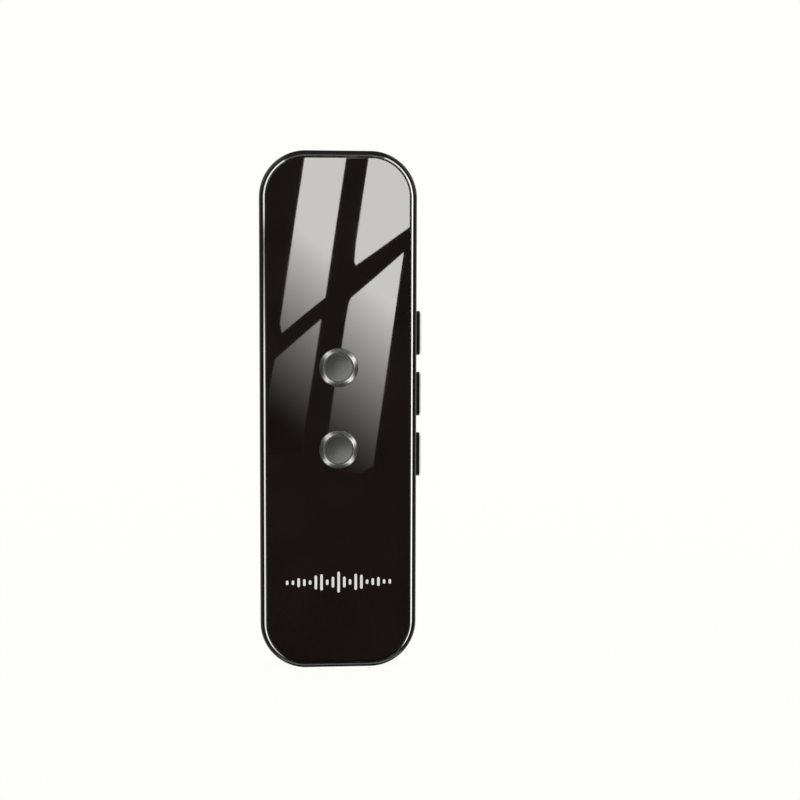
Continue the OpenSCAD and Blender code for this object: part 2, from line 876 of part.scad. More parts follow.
front_frame();
trim_ring();
front_glass();
glass_tape();
rear_cover();
upper_key_ring();
lower_key_ring();
upper_key_cap();
lower_key_cap();
upper_key_carrier();
lower_key_carrier();
upper_key_pad();
lower_key_pad();
upper_switch_base();
lower_switch_base();
upper_switch_dome();
lower_switch_dome();
top_side_key();
middle_side_key();
bottom_side_key();
top_side_plunger();
middle_side_plunger();
bottom_side_plunger();
side_switch_bases();
top_side_dome();
middle_side_dome();
bottom_side_dome();
side_key_bracket();
side_key_flex();
flex_connector();
main_board();
board_screws();
processor();
memory_chip();
wireless_chip();
shield_can();
charger_chip();
amplifier_chip();
crystal();
power_inductor();
board_capacitors();
chip_antenna();
usb_shell();
usb_tongue();
microphone();
microphone_boot();
battery_cell();
battery_protector();
battery_tape();
battery_wires();
battery_connector();
speaker_frame();
speaker_magnet();
speaker_cone();
speaker_gasket();
speaker_mesh();
speaker_wires();
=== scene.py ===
import math

import bmesh
import bpy
import numpy as np
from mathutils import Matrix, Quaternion, Vector


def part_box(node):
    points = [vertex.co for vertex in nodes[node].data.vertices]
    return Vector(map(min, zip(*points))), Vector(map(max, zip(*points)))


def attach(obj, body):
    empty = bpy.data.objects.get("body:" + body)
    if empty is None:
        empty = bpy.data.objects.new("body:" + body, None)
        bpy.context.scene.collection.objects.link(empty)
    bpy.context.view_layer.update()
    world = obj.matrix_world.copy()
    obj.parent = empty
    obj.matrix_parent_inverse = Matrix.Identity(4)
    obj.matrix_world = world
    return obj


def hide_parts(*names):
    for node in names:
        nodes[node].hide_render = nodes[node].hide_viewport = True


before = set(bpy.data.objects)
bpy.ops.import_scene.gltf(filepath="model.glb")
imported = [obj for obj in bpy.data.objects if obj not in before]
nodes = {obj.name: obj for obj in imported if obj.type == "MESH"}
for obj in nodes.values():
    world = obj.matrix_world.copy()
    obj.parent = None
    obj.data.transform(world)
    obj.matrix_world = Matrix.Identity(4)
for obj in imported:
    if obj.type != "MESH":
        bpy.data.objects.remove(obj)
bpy.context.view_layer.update()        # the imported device, upright on its bottom end, its front towards -Y
mm = 0.001
print("device loaded,", len(nodes), "nodes")

# The casing's plan. A level is a height towards the front: the point at a level has y = -level.
casing = {
    "cornerRadius": 12.7 * mm,   # of the four corners seen from the front
    "cornerSteps": 24,           # straight pieces in each corner
    "wall": 1.8 * mm,            # thickness of the flanks
    "plateInset": 12 * mm,       # where the swept border gives way to one flat face
    "seam": 0.12 * mm,           # bevel on both sides of the seam between frame and cover
    "sharpAngle": 28,            # degrees; gentler edges are shaded smoothly
    "overrun": 1 * mm,           # how far a cutter runs past the faces that it opens
    "bite": 0.3 * mm,            # how deep a rib or boss starts inside the wall it grows from
}
frameLow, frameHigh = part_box("front_frame")
halfWidth = frameHigh.x
bodyLength = frameHigh.z
parting = -frameHigh.y
frontLevel = -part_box("front_glass")[0].y
rearLevel = -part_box("rear_cover")[1].y

frontKeyNames = ("upper", "lower")
frontKeyMeasure = {
    "ringRadius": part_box("upper_key_ring")[1].x,
    "bore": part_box("upper_key_cap")[1].x - 0.14 * mm,   # leaves the ring's face a little broader
    "gap": 0.08 * mm,        # between ring and cap
    "softness": 0.06 * mm,   # radius of the ring's edges
    "steps": 96,             # straight pieces round a key, its ring and their holes
}
sideKeyNames = ("top_side", "middle_side", "bottom_side")
sideKeyMeasure = {
    "flange": 0.7 * mm,          # thickness of the flange behind the slot
    "flangeMargin": 0.55 * mm,   # how far it stands out all round
}


def middle(node):
    low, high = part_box(node)
    return (low + high) / 2


def sideKeyPlan(key):
    # centre of a side key, and the length and breadth of the part that shows
    low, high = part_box(key + "_key")
    margin = sideKeyMeasure["flangeMargin"]
    size = (high.z - low.z - 2 * margin, high.y - low.y - 2 * margin)
    return (low + high) / 2, size


def gridFaces(rows, columns, closedProfile):
    # the four corners of every cell: the rows close on themselves, the columns only if asked
    row = np.arange(rows)[:, None]
    column = np.arange(columns if closedProfile else columns - 1)[None, :]
    nextRow = (row + 1) % rows
    nextColumn = (column + 1) % columns
    corners = [row * columns + column, nextRow * columns + column,
               nextRow * columns + nextColumn, row * columns + nextColumn]
    return np.stack(corners, -1).reshape(-1, 4).tolist()


def cleanMesh(mesh):
    # merges points and drops slivers, then turns every face outwards
    merge = 0.0002 * mm
    sliver = 0.0001 * mm
    shell = bmesh.new()
    shell.from_mesh(mesh)
    bmesh.ops.remove_doubles(shell, verts=shell.verts, dist=merge)
    bmesh.ops.dissolve_degenerate(shell, edges=shell.edges, dist=sliver)
    bmesh.ops.recalc_face_normals(shell, faces=shell.faces)
    shell.to_mesh(mesh)
    shell.free()


def pieceFromGrid(name, points, closedProfile=False):
    # rows of points go round the piece and columns along its profile;
    # an open profile gets one flat face at each end
    rows, columns = points.shape[:2]
    faces = gridFaces(rows, columns, closedProfile)
    if not closedProfile:
        firstRing = np.arange(rows) * columns
        faces += [firstRing.tolist(), (firstRing + columns - 1).tolist()]
    mesh = bpy.data.meshes.new(name)
    mesh.from_pydata(points.reshape(-1, 3).tolist(), [], faces)
    cleanMesh(mesh)
    piece = bpy.data.objects.new(name, mesh)
    bpy.context.scene.collection.objects.link(piece)
    return piece


def rounded(corners, radii, steps=6):
    # turns profile corners into arcs: a rational quadratic curve whose middle weight is the
    # sine of half the corner's angle is a true arc of a circle
    corners = np.array(corners, float)
    radii = np.array(radii, float)
    back = np.roll(corners, 1, 0) - corners
    ahead = np.roll(corners, -1, 0) - corners
    back /= np.linalg.norm(back, axis=1, keepdims=True)
    ahead /= np.linalg.norm(ahead, axis=1, keepdims=True)
    half = np.arccos(np.clip((back * ahead).sum(1), -1, 1)) / 2
    reach = (radii / np.tan(np.maximum(half, 1e-6)))[:, None]
    start = (corners + back * reach)[:, None]
    end = (corners + ahead * reach)[:, None]
    t = np.linspace(0, 1, steps + 1)[None, :, None]
    weight = np.sin(half)[:, None, None]
    middleShare = 2 * weight * t * (1 - t)
    total = (1 - t) ** 2 + middleShare + t ** 2
    arcs = ((1 - t) ** 2 * start + middleShare * corners[:, None] + t ** 2 * end) / total
    return np.concatenate([arc if radius > 0 else corner[None]
                           for arc, radius, corner in zip(arcs, radii, corners)])


def sweptRound(name, profile, closedProfile=False):
    # carries a profile of (inset, level) round the casing's plan: four quarter circles of
    # radius cornerRadius - inset, joined by straight sides
    inset, level = np.asarray(profile).T
    radius = casing["cornerRadius"]
    turn = np.linspace(0, np.pi / 2, casing["cornerSteps"] + 1) + np.arange(4)[:, None] * np.pi / 2
    away = np.stack([np.cos(turn), np.sin(turn)], -1)
    centre = np.sign(away.mean(1, keepdims=True)) * [halfWidth - radius, bodyLength / 2 - radius]
    ring = centre[:, :, None] + away[:, :, None] * (radius - inset)[:, None]
    across, along = ring[..., 0], ring[..., 1] + bodyLength / 2
    points = np.stack([across, np.broadcast_to(-level, across.shape), along], -1)
    return pieceFromGrid(name, points.reshape(-1, len(inset), 3), closedProfile)


def slotBar(name, order, centre, sections, steps=16, closedProfile=False):
    # bar with slot-shaped sections; order names the axes of its length, its breadth and its run.
    # Each section is (place, length, breadth), and its outline is two half circles of radius
    # breadth / 2 that stand (length - breadth) / 2 off the centre
    place, length, breadth = np.asarray(sections).T
    turn = np.concatenate([np.linspace(-90, 90, steps + 1), np.linspace(90, 270, steps + 1)])
    side = np.repeat([1, -1], steps + 1)[:, None]
    turn = np.radians(turn)[:, None]
    lengthwise, crosswise, alongRun = ("xyz".index(axis) for axis in order)
    points = np.zeros((len(turn), len(place), 3)) + np.asarray(centre)
    points[..., lengthwise] += side * (length - breadth) / 2 + np.cos(turn) * breadth / 2
    points[..., crosswise] += np.sin(turn) * breadth / 2
    points[..., alongRun] = place
    return pieceFromGrid(name, points, closedProfile)


def grownBar(name, order, centre, size, profile, steps=16):
    # slot bar whose profile is (grow, place): how far its outline stands off the slot of that size
    grow, place = np.asarray(profile).T
    sections = np.stack([place, size[0] + 2 * grow, size[1] + 2 * grow], -1)
    return slotBar(name, order, centre, sections, steps)


def turnedPiece(name, centre, profile, steps=48, closedProfile=False):
    # piece turned about an axis along y: each profile point (radius, level) makes a circle
    radius, level = np.asarray(profile).T
    sections = np.stack([-level, 2 * radius, 2 * radius], -1)
    return slotBar(name, "xzy", centre, sections, steps // 2, closedProfile)


def flaredCut(size, flare, start, face):
    # profile of a cut: plain from its start, then wider by a flare at 45 degrees where it breaks
    # through a face
    outwards = 1 if face > start else -1
    wide = size + 2 * flare
    return [(size, start), (size, face - outwards * flare), (wide, face + outwards * flare),
            (wide, face + outwards * casing["overrun"])]


def boxBar(name, low, high):
    # plain bar between two corners, for ribs and the cuts in them
    corners = np.array([low, high])
    picks = np.array([[0, 0], [1, 0], [1, 1], [0, 1]])
    points = np.zeros((4, 2, 3))
    points[..., 0] = corners[picks[:, 0], 0][:, None]
    points[..., 1] = corners[picks[:, 1], 1][:, None]
    points[..., 2] = corners[:, 2][None, :]
    return pieceFromGrid(name, points)


def joined(pieces):
    if len(pieces) > 1:
        with bpy.context.temp_override(active_object=pieces[0], selected_editable_objects=pieces):
            bpy.ops.object.join()
    return pieces[0]


def carved(piece, added=(), removed=()):
    # adds one group of shapes to a piece and cuts another group out of it
    tools = []
    for operation, shapes in (("UNION", added), ("DIFFERENCE", removed)):
        if shapes:
            tool = joined(list(shapes))
            step = piece.modifiers.new(operation.lower(), "BOOLEAN")
            step.operation = operation
            step.solver = "EXACT"
            step.object = tool
            tools.append(tool)
    shown = piece.evaluated_get(bpy.context.evaluated_depsgraph_get())
    mesh = bpy.data.meshes.new_from_object(shown)
    piece.modifiers.clear()
    piece.data = mesh
    mesh.materials.clear()
    for tool in tools:
        bpy.data.objects.remove(tool)
    cleanMesh(mesh)


def dressed(piece, *finishes):
    # gives a piece its finishes, and smooth shading between sharp edges that keeps the large
    # flat faces flat
    for finish in finishes:
        piece.data.materials.append(finish)
    piece.data.shade_smooth()
    piece.data.set_sharp_from_angle(angle=math.radians(casing["sharpAngle"]))
    even = piece.modifiers.new("evenShading", "WEIGHTED_NORMAL")
    even.keep_sharp = True
    even.weight = 100


def faceCentres(piece):
    centres = np.zeros(len(piece.data.polygons) * 3)
    piece.data.polygons.foreach_get("center", centres)
    return centres.reshape(-1, 3)


def paintFaces(piece, chosen):
    # gives the chosen faces the piece's second finish
    piece.data.polygons.foreach_set("material_index", chosen.astype(np.int32))


def insetOf(points):
    # how far points of the plan lie inside the casing's outline
    radius = casing["cornerRadius"]
    beyond = np.abs(points[:, [0, 2]] - [0, bodyLength / 2])
    beyond = beyond - [halfWidth - radius, bodyLength / 2 - radius]
    return radius - np.linalg.norm(np.maximum(beyond, 0), axis=1) - np.minimum(beyond.max(1), 0)


def mathStep(operation, swapped=False):
    # one operator of a strand, as a Math node; swapped for the reflected form
    def step(strand, other):
        values = (other, strand) if swapped else (strand, other)
        return strand.finish.node("ShaderNodeMath", {"operation": operation}, dict(enumerate(values)))
    return step


class Strand:
    # a socket among a finish's nodes: arithmetic on it adds Math nodes
    def __init__(self, finish, socket):
        self.finish = finish
        self.socket = socket

    __add__ = __radd__ = mathStep("ADD")
    __sub__, __rsub__ = mathStep("SUBTRACT"), mathStep("SUBTRACT", True)
    __mul__ = __rmul__ = mathStep("MULTIPLY")
    __pow__, __rpow__ = mathStep("POWER"), mathStep("POWER", True)
    __gt__, __lt__ = mathStep("GREATER_THAN"), mathStep("LESS_THAN")


class NodeWork:
    # one shader in a tree of nodes, and the few ways in which this device's finishes vary it
    def __init__(self, tree, shader):
        self.tree = tree
        self.shader = tree.nodes[shader]

    def set(self, socket, value):
        self.feed(self.shader.inputs[socket], value)

    def feed(self, socket, value):
        # links a strand to a socket, or sets a plain value there
        if isinstance(value, Strand):
            self.tree.links.new(value.socket, socket)
        else:
            socket.default_value = value

    def node(self, kind, settings=None, sockets=None, output=0):
        made = self.tree.nodes.new(kind)
        for setting, value in (settings or {}).items():
            setattr(made, setting, value)
        for socket, value in (sockets or {}).items():
            self.feed(made.inputs[socket], value)
        return Strand(self, made.outputs[output])

    def place(self, scale=(1, 1, 1), centre=(0, 0, 0)):
        # the point on the piece, moved so that centre is at zero, then scaled
        here = self.node("ShaderNodeTexCoord", output="Object")
        moved = self.vector("SUBTRACT", here, centre)
        return self.vector("MULTIPLY", moved, scale)

    def vector(self, operation, first, second=None, output="Vector", **sockets):
        values = {0: first} if second is None else {0: first, 1: second}
        return self.node("ShaderNodeVectorMath", {"operation": operation}, {**values, **sockets}, output)

    def part(self, vector, axis):
        return self.node("ShaderNodeSeparateXYZ", None, {"Vector": vector}, axis)

    def noise(self, grain, detail=2.0, rough=0.5, scale=(1, 1, 1)):
        # soft noise from 0 to 1 whose blobs are about grain metres across
        sockets = {"Vector": self.place(scale), "Scale": 1 / grain, "Detail": detail, "Roughness": rough}
        return self.node("ShaderNodeTexNoise", None, sockets)

    def sine(self, value):
        return self.node("ShaderNodeMath", {"operation": "SINE"}, {0: value})

    def spread(self, value, low, high, fromLow=0.3, fromHigh=0.7):
        # carries the range fromLow to fromHigh onto the range low to high, and stops at its ends
        sockets = {"Value": value, 1: fromLow, 2: fromHigh, 3: low, 4: high}
        return self.node("ShaderNodeMapRange", {"clamp": True}, sockets)

    def blended(self, mask, first, second):
        # colour that goes from first to second with the mask
        sockets = {0: mask, 6: first if isinstance(first, Strand) else (*first, 1),
                   7: second if isinstance(second, Strand) else (*second, 1)}
        return self.node("ShaderNodeMix", {"data_type": "RGBA"}, sockets, 2)

    def toned(self, value, first, second, **limits):
        # base colour from first to second as the value runs between its limits
        self.set("Base Color", self.blended(self.spread(value, 0, 1, **limits), first, second))

    def glossed(self, value, roughness, least=0.8, most=1.2, **limits):
        # roughness that runs from least to most times its usual amount
        low, high = roughness * least, min(1, roughness * most)
        self.set("Roughness", self.spread(value, low, high, **limits))

    def bumped(self, height, depth):
        sockets = {"Height": height, "Distance": depth, "Strength": 1.0}
        self.set("Normal", self.node("ShaderNodeBump", None, sockets))

    def leaned(self, lean):
        # tips the surface's own normal by a vector
        normal = self.node("ShaderNodeNewGeometry", output="Normal")
        self.set("Normal", self.vector("NORMALIZE", self.vector("ADD", normal, lean)))


class Finish(NodeWork):
    # a material around the usual surface shader
    def __init__(self, name, colour, roughness, metallic=0.0):
        self.material = bpy.data.materials.new(name)
        self.material.use_nodes = True
        super().__init__(self.material.node_tree, "Principled BSDF")
        self.set("Base Color", (*colour, 1))
        self.set("Roughness", roughness)
        self.set("Metallic", metallic)


def scaled(colour, share):
    # the colour, darker or lighter
    return [min(1, part * share) for part in colour]


def mouldedFinish(name, colour, roughness, grain, depth, metallic=0.0, uneven=0.12):
    # everyday finish: a fine grain in the surface and slow changes of tone and gloss
    look = {"patches": 4 * mm, "least": 0.85, "most": 1.15}
    finish = Finish(name, colour, roughness, metallic)
    slow = finish.noise(look["patches"], detail=3)
    fine = finish.noise(grain, detail=3)
    finish.toned(slow, scaled(colour, 1 - uneven), scaled(colour, 1 + uneven))
    finish.glossed(fine, roughness, look["least"], look["most"])
    finish.bumped(fine, depth)
    return finish.material


def polishedBlack(name, colour, roughness):
    # glossy black plastic: flow lines too faint to see, but the gloss changes a little
    look = {"flow": 9 * mm, "grain": 0.6 * mm, "grainShare": 0.3, "lighter": 1.35, "wave": 0.004 * mm}
    finish = Finish(name, colour, roughness)
    slow = finish.noise(look["flow"], detail=3)
    fine = finish.noise(look["grain"], detail=2)
    finish.toned(slow, colour, scaled(colour, look["lighter"]))
    finish.glossed(slow + fine * look["grainShare"], roughness, most=1.3, fromLow=0.4, fromHigh=0.9)
    finish.bumped(slow, look["wave"])
    return finish.material


def polishedMetal(name, colour, roughness):
    # cut or plated edge: bright, with fine lines left by the cutter
    look = {"lines": 0.05 * mm, "stretch": (1, 6, 1), "patches": 5 * mm, "darker": 0.94, "wave": 0.003 * mm}
    finish = Finish(name, colour, roughness, 1.0)
    lines = finish.noise(look["lines"], detail=2, scale=look["stretch"])
    slow = finish.noise(look["patches"], detail=2)
    finish.toned(slow, scaled(colour, look["darker"]), colour)
    finish.glossed(lines, roughness, most=1.3)
    finish.bumped(slow, look["wave"])
    return finish.material


def backPrintedGlass():
    # clear glass over black print: near black, mirror smooth, uneven to a faint degree
    look = {"colour": (0.0088, 0.0056, 0.0048), "warmer": 1.3, "roughness": 0.015, "patches": 14 * mm}
    finish = Finish("backPrintedGlass", look["colour"], look["roughness"])
    slow = finish.noise(look["patches"], detail=1)
    finish.toned(slow, look["colour"], scaled(look["colour"], look["warmer"]))
    finish.glossed(slow, look["roughness"])
    return finish.material


def satinCoverPaint():
    # grey paint full of metal flakes: each flake cell has its own tone and a slight tilt
    look = {"colour": (0.275, 0.247, 0.240), "roughness": 0.42, "metallic": 0.75, "patches": 18 * mm,
            "flake": 0.11 * mm, "flakeTone": 0.16, "flakeTilt": 0.16, "flakeShare": 0.7, "patchShare": 0.6}
    finish = Finish("satinCoverPaint", look["colour"], look["roughness"], look["metallic"])
    cells = {"Vector": finish.place(), "Scale": 1 / look["flake"]}
    flake = finish.node("ShaderNodeTexVoronoi", None, cells, "Color")
    slow = finish.noise(look["patches"], detail=2)
    tone = finish.part(flake, 0) * look["flakeShare"] + slow * look["patchShare"]
    darker, lighter = (scaled(look["colour"], 1 + sign * look["flakeTone"]) for sign in (-1, 1))
    finish.toned(tone, darker, lighter, fromLow=0.1, fromHigh=1.15)
    finish.glossed(slow, look["roughness"], least=0.9, most=1.1)
    tilt = finish.vector("SUBTRACT", flake, (0.5, 0.5, 0.5))
    finish.leaned(finish.vector("SCALE", tilt, Scale=look["flakeTilt"]))
    return finish.material


def turnedMetal(name, centre, colour, roughness, groove, tilt):
    # face turned on a lathe: every groove is a ring round the centre with its own slope, so the
    # normal leans between tilt[0] inwards and tilt[1] outwards, by a noise of the distance from
    # the centre
    look = {"darker": 0.85, "most": 1.25}
    finish = Finish(name, colour, roughness, 1.0)
    flat = finish.vector("MULTIPLY", finish.place(centre=centre), (1, 0, 1))
    distance = finish.vector("LENGTH", flat, output="Value")
    ringNoise = finish.node("ShaderNodeTexNoise", {"noise_dimensions": "1D"},
                            {"W": distance, "Scale": 1 / groove, "Detail": 1.0})
    outwards = finish.vector("NORMALIZE", flat)
    finish.leaned(finish.vector("SCALE", outwards, Scale=finish.spread(ringNoise, -tilt[0], tilt[1])))
    finish.toned(ringNoise, scaled(colour, look["darker"]), colour)
    finish.glossed(ringNoise, roughness, most=look["most"])
    return finish.material


def boardMask():
    # solder mask over copper: lighter where a track runs below, with round tinned vias
    look = {"mask": (0.008, 0.075, 0.035), "track": (0.016, 0.13, 0.06), "tin": (0.6, 0.55, 0.42),
            "roughness": 0.35, "trackPitch": 0.9 * mm, "trackGap": 0.09, "trackLength": 3.7,
            "trackWidth": 0.5, "trackRise": 0.02 * mm, "viaPitch": 2.3 * mm, "viaReach": 0.12,
            "patches": 1.5 * mm}
    finish = Finish("boardMask", look["mask"], look["roughness"])
    flat = finish.node("ShaderNodeCombineXYZ", None,
                       {"X": finish.part(finish.place(), "X"), "Y": finish.part(finish.place(), "Z")})
    bricks = {"Vector": flat, "Scale": 1 / look["trackPitch"], "Mortar Size": look["trackGap"],
              "Brick Width": look["trackLength"], "Row Height": look["trackWidth"]}
    track = finish.node("ShaderNodeTexBrick", None, bricks, "Fac")
    vias = {"Vector": finish.place(), "Scale": 1 / look["viaPitch"]}
    via = finish.node("ShaderNodeTexVoronoi", None, vias, "Distance") < look["viaReach"]
    copper = finish.blended(track, look["mask"], look["track"])
    finish.set("Base Color", finish.blended(via, copper, look["tin"]))
    finish.glossed(finish.noise(look["patches"]), look["roughness"])
    finish.bumped(track, look["trackRise"])
    return finish.material


def wovenMesh(name, colour, pitch):
    # speaker cloth: threads over and under, the product of two sine waves across each other
    look = {"roughness": 0.8, "lighter": 2.4, "rise": 0.03 * mm}
    finish = Finish(name, colour, look["roughness"])
    here = finish.place()
    along, up = (finish.sine(finish.part(here, axis) * (math.pi / pitch)) for axis in ("X", "Z"))
    weave = along * up
    finish.toned(weave, colour, scaled(colour, look["lighter"]), fromLow=-1, fromHigh=1)
    finish.bumped(weave, look["rise"])
    return finish.material


def mottledFinish(name, dark, light, roughness, grain, detail, depth, gloss=None):
    # two tones that change into each other with one noise, which also shapes the surface;
    # gloss is the range of roughness, where that changes too
    finish = Finish(name, dark, roughness)
    mottle = finish.noise(grain, detail)
    finish.toned(mottle, dark, light)
    if gloss:
        finish.set("Roughness", finish.spread(mottle, *gloss))
    finish.bumped(mottle, depth)
    return finish.material


frameBlack = polishedBlack("frameBlack", (0.010, 0.009, 0.009), 0.1)
keyBlack = polishedBlack("sideKeyBlack", (0.010, 0.010, 0.010), 0.16)
keyFacet = polishedMetal("keyFacet", (0.68, 0.68, 0.68), 0.12)
brightTrim = polishedMetal("brightTrim", (0.86, 0.86, 0.86), 0.1)
cutFacet = polishedMetal("cutFacet", (0.8, 0.79, 0.78), 0.16)
print("finishes made")


def makeFrontFrame():
    look = {"rimRadius": 1 * mm, "rimWidth": 1.1 * mm, "plate": 0.95 * mm, "innerRadius": 0.3 * mm,
            "stepRadius": 0.04 * mm, "slotFlare": 0.12 * mm, "slotGap": 0.1 * mm,
            "portFlare": 0.2 * mm, "portGap": 0.12 * mm, "microphoneHole": 1.2 * mm,
            "holeFlare": 0.1 * mm, "bossRadius": 1.9 * mm, "screwHead": 1.5 * mm,
            "screwRadius": 0.8 * mm, "screwDepth": 1.6 * mm, "ribReach": 0.9 * mm,
            "ribLength": 3.5 * mm, "ribStep": 2 * mm, "ribLow": -1 * mm}
    wall, out, bite = casing["wall"], casing["overrun"], casing["bite"]
    plateTop = -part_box("glass_tape")[1].y
    plateLow = plateTop - look["plate"]
    rimTop = -frameLow.y
    corners = [(casing["plateInset"], plateLow), (wall, plateLow), (wall, parting), (0, parting),
               (0, rimTop), (look["rimWidth"], rimTop), (look["rimWidth"], plateTop),
               (casing["plateInset"], plateTop)]
    radii = [0, look["innerRadius"], 0, casing["seam"], look["rimRadius"], look["stepRadius"], 0, 0]
    piece = sweptRound("frontFrame", rounded(corners, radii, steps=8))
    # bosses for the board's screws, and the two ribs that hold the side keys' bracket
    screwLow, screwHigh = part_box("board_screws")
    boardTop = -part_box("main_board")[0].y
    head, boss, screw = look["screwHead"], look["bossRadius"], look["screwRadius"]
    screwSpots = [(side * (screwHigh.x - head), z) for side in (-1, 1)
                  for z in (screwLow.z + head, screwHigh.z - head)]
    added = [turnedPiece("boss", (x, 0, z), [(boss, boardTop), (boss, plateLow + bite)], steps=24)
             for x, z in screwSpots]
    bracketLow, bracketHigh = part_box("side_key_bracket")
    ribX = (bracketLow.x - look["ribReach"], halfWidth - wall + bite)
    for end, edge in ((-1, bracketLow.z), (1, bracketHigh.z)):
        ribZ = sorted((edge - end * look["ribStep"], edge + end * (look["ribLength"] - look["ribStep"])))
        added.append(boxBar("rib", (ribX[0], -plateLow - bite, ribZ[0]),
                            (ribX[1], -look["ribLow"], ribZ[1])))
    cuts = [turnedPiece("screwHole", (x, 0, z), [(screw, boardTop - out),
                                                 (screw, boardTop + look["screwDepth"])], steps=16)
            for x, z in screwSpots]
    cuts.append(boxBar("bracketSlot", bracketLow, bracketHigh))
    for key in frontKeyNames:
        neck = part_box(key + "_key_cap")[1].x
        cuts.append(turnedPiece("keyHole", middle(key + "_key_ring"),
                                [(neck, plateLow - out), (neck, plateTop + out)],
                                steps=frontKeyMeasure["steps"]))
    # slots for the side keys, the charging port and the microphone, flared on the outside
    for key in sideKeyNames:
        keyCentre, keySize = sideKeyPlan(key)
        profile = flaredCut(look["slotGap"], look["slotFlare"], halfWidth - wall - out, halfWidth)
        cuts.append(grownBar("keySlot", "zyx", keyCentre, keySize, profile))
    portLow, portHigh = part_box("usb_shell")
    portSize = (portHigh.x - portLow.x, portHigh.y - portLow.y)
    profile = flaredCut(look["portGap"], look["portFlare"], wall + out, 0)
    cuts.append(grownBar("portHole", "xyz", middle("usb_shell"), portSize, profile, steps=24))
    hole = look["microphoneHole"]
    profile = flaredCut(0, look["holeFlare"], wall + out, 0)
    cuts.append(grownBar("microphoneHole", "xyz", middle("microphone_boot"), (hole, hole), profile, steps=12))
    carved(piece, added, cuts)
    dressed(piece, frameBlack)
    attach(piece, "device")
    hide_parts("front_frame")
    return piece


def makeTrimRing():
    look = {"width": 0.55 * mm, "outset": 1.1 * mm, "chamfer": 0.45 * mm, "softness": 0.05 * mm,
            "innerSoftness": 0.04 * mm}
    low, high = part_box("trim_ring")
    foot, top = -high.y, -low.y
    outer, chamfer, soft = look["outset"], look["chamfer"], look["softness"]
    inner = outer + look["width"]
    corners = [(inner, foot), (outer, foot), (outer, top - chamfer), (outer + chamfer, top), (inner, top)]
    profile = rounded(corners, [0, 0, soft, soft, look["innerSoftness"]], steps=3)
    piece = sweptRound("trimRing", profile, closedProfile=True)
    dressed(piece, brightTrim)
    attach(piece, "device")
    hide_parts("trim_ring")
    return piece


def makeFrontGlass():
    look = {"inset": 1.75 * mm, "edgeRadius": 0.4 * mm, "backRadius": 0.05 * mm,
            "holeGap": 0.05 * mm, "holeChamfer": 0.06 * mm}
    low = -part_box("front_glass")[1].y
    corners = [(casing["plateInset"], low), (look["inset"], low), (look["inset"], frontLevel),
               (casing["plateInset"], frontLevel)]
    profile = rounded(corners, [0, look["backRadius"], look["edgeRadius"], 0], steps=8)
    piece = sweptRound("frontGlass", profile)
    profile = flaredCut(frontKeyMeasure["ringRadius"] + look["holeGap"], look["holeChamfer"],
                        low - casing["overrun"], frontLevel)
    carved(piece, (), [turnedPiece("keyHole", middle(key + "_key_ring"), profile,
                                   steps=frontKeyMeasure["steps"]) for key in frontKeyNames])
    dressed(piece, backPrintedGlass())
    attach(piece, "device")
    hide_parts("front_glass")
    return piece


def grilleSpots():
    # pairs of hole columns, in millimetres: distance from the centre line, number of holes, spacing
    look = {"columns": [(1.53, 6, 3.8), (4.45, 5, 3.16), (7.57, 3, 3.12)]}
    height = middle("speaker_mesh").z
    return [(side * across * mm, height + (i - (count - 1) / 2) * pitch * mm)
            for across, count, pitch in look["columns"] for side in (-1, 1) for i in range(count)]


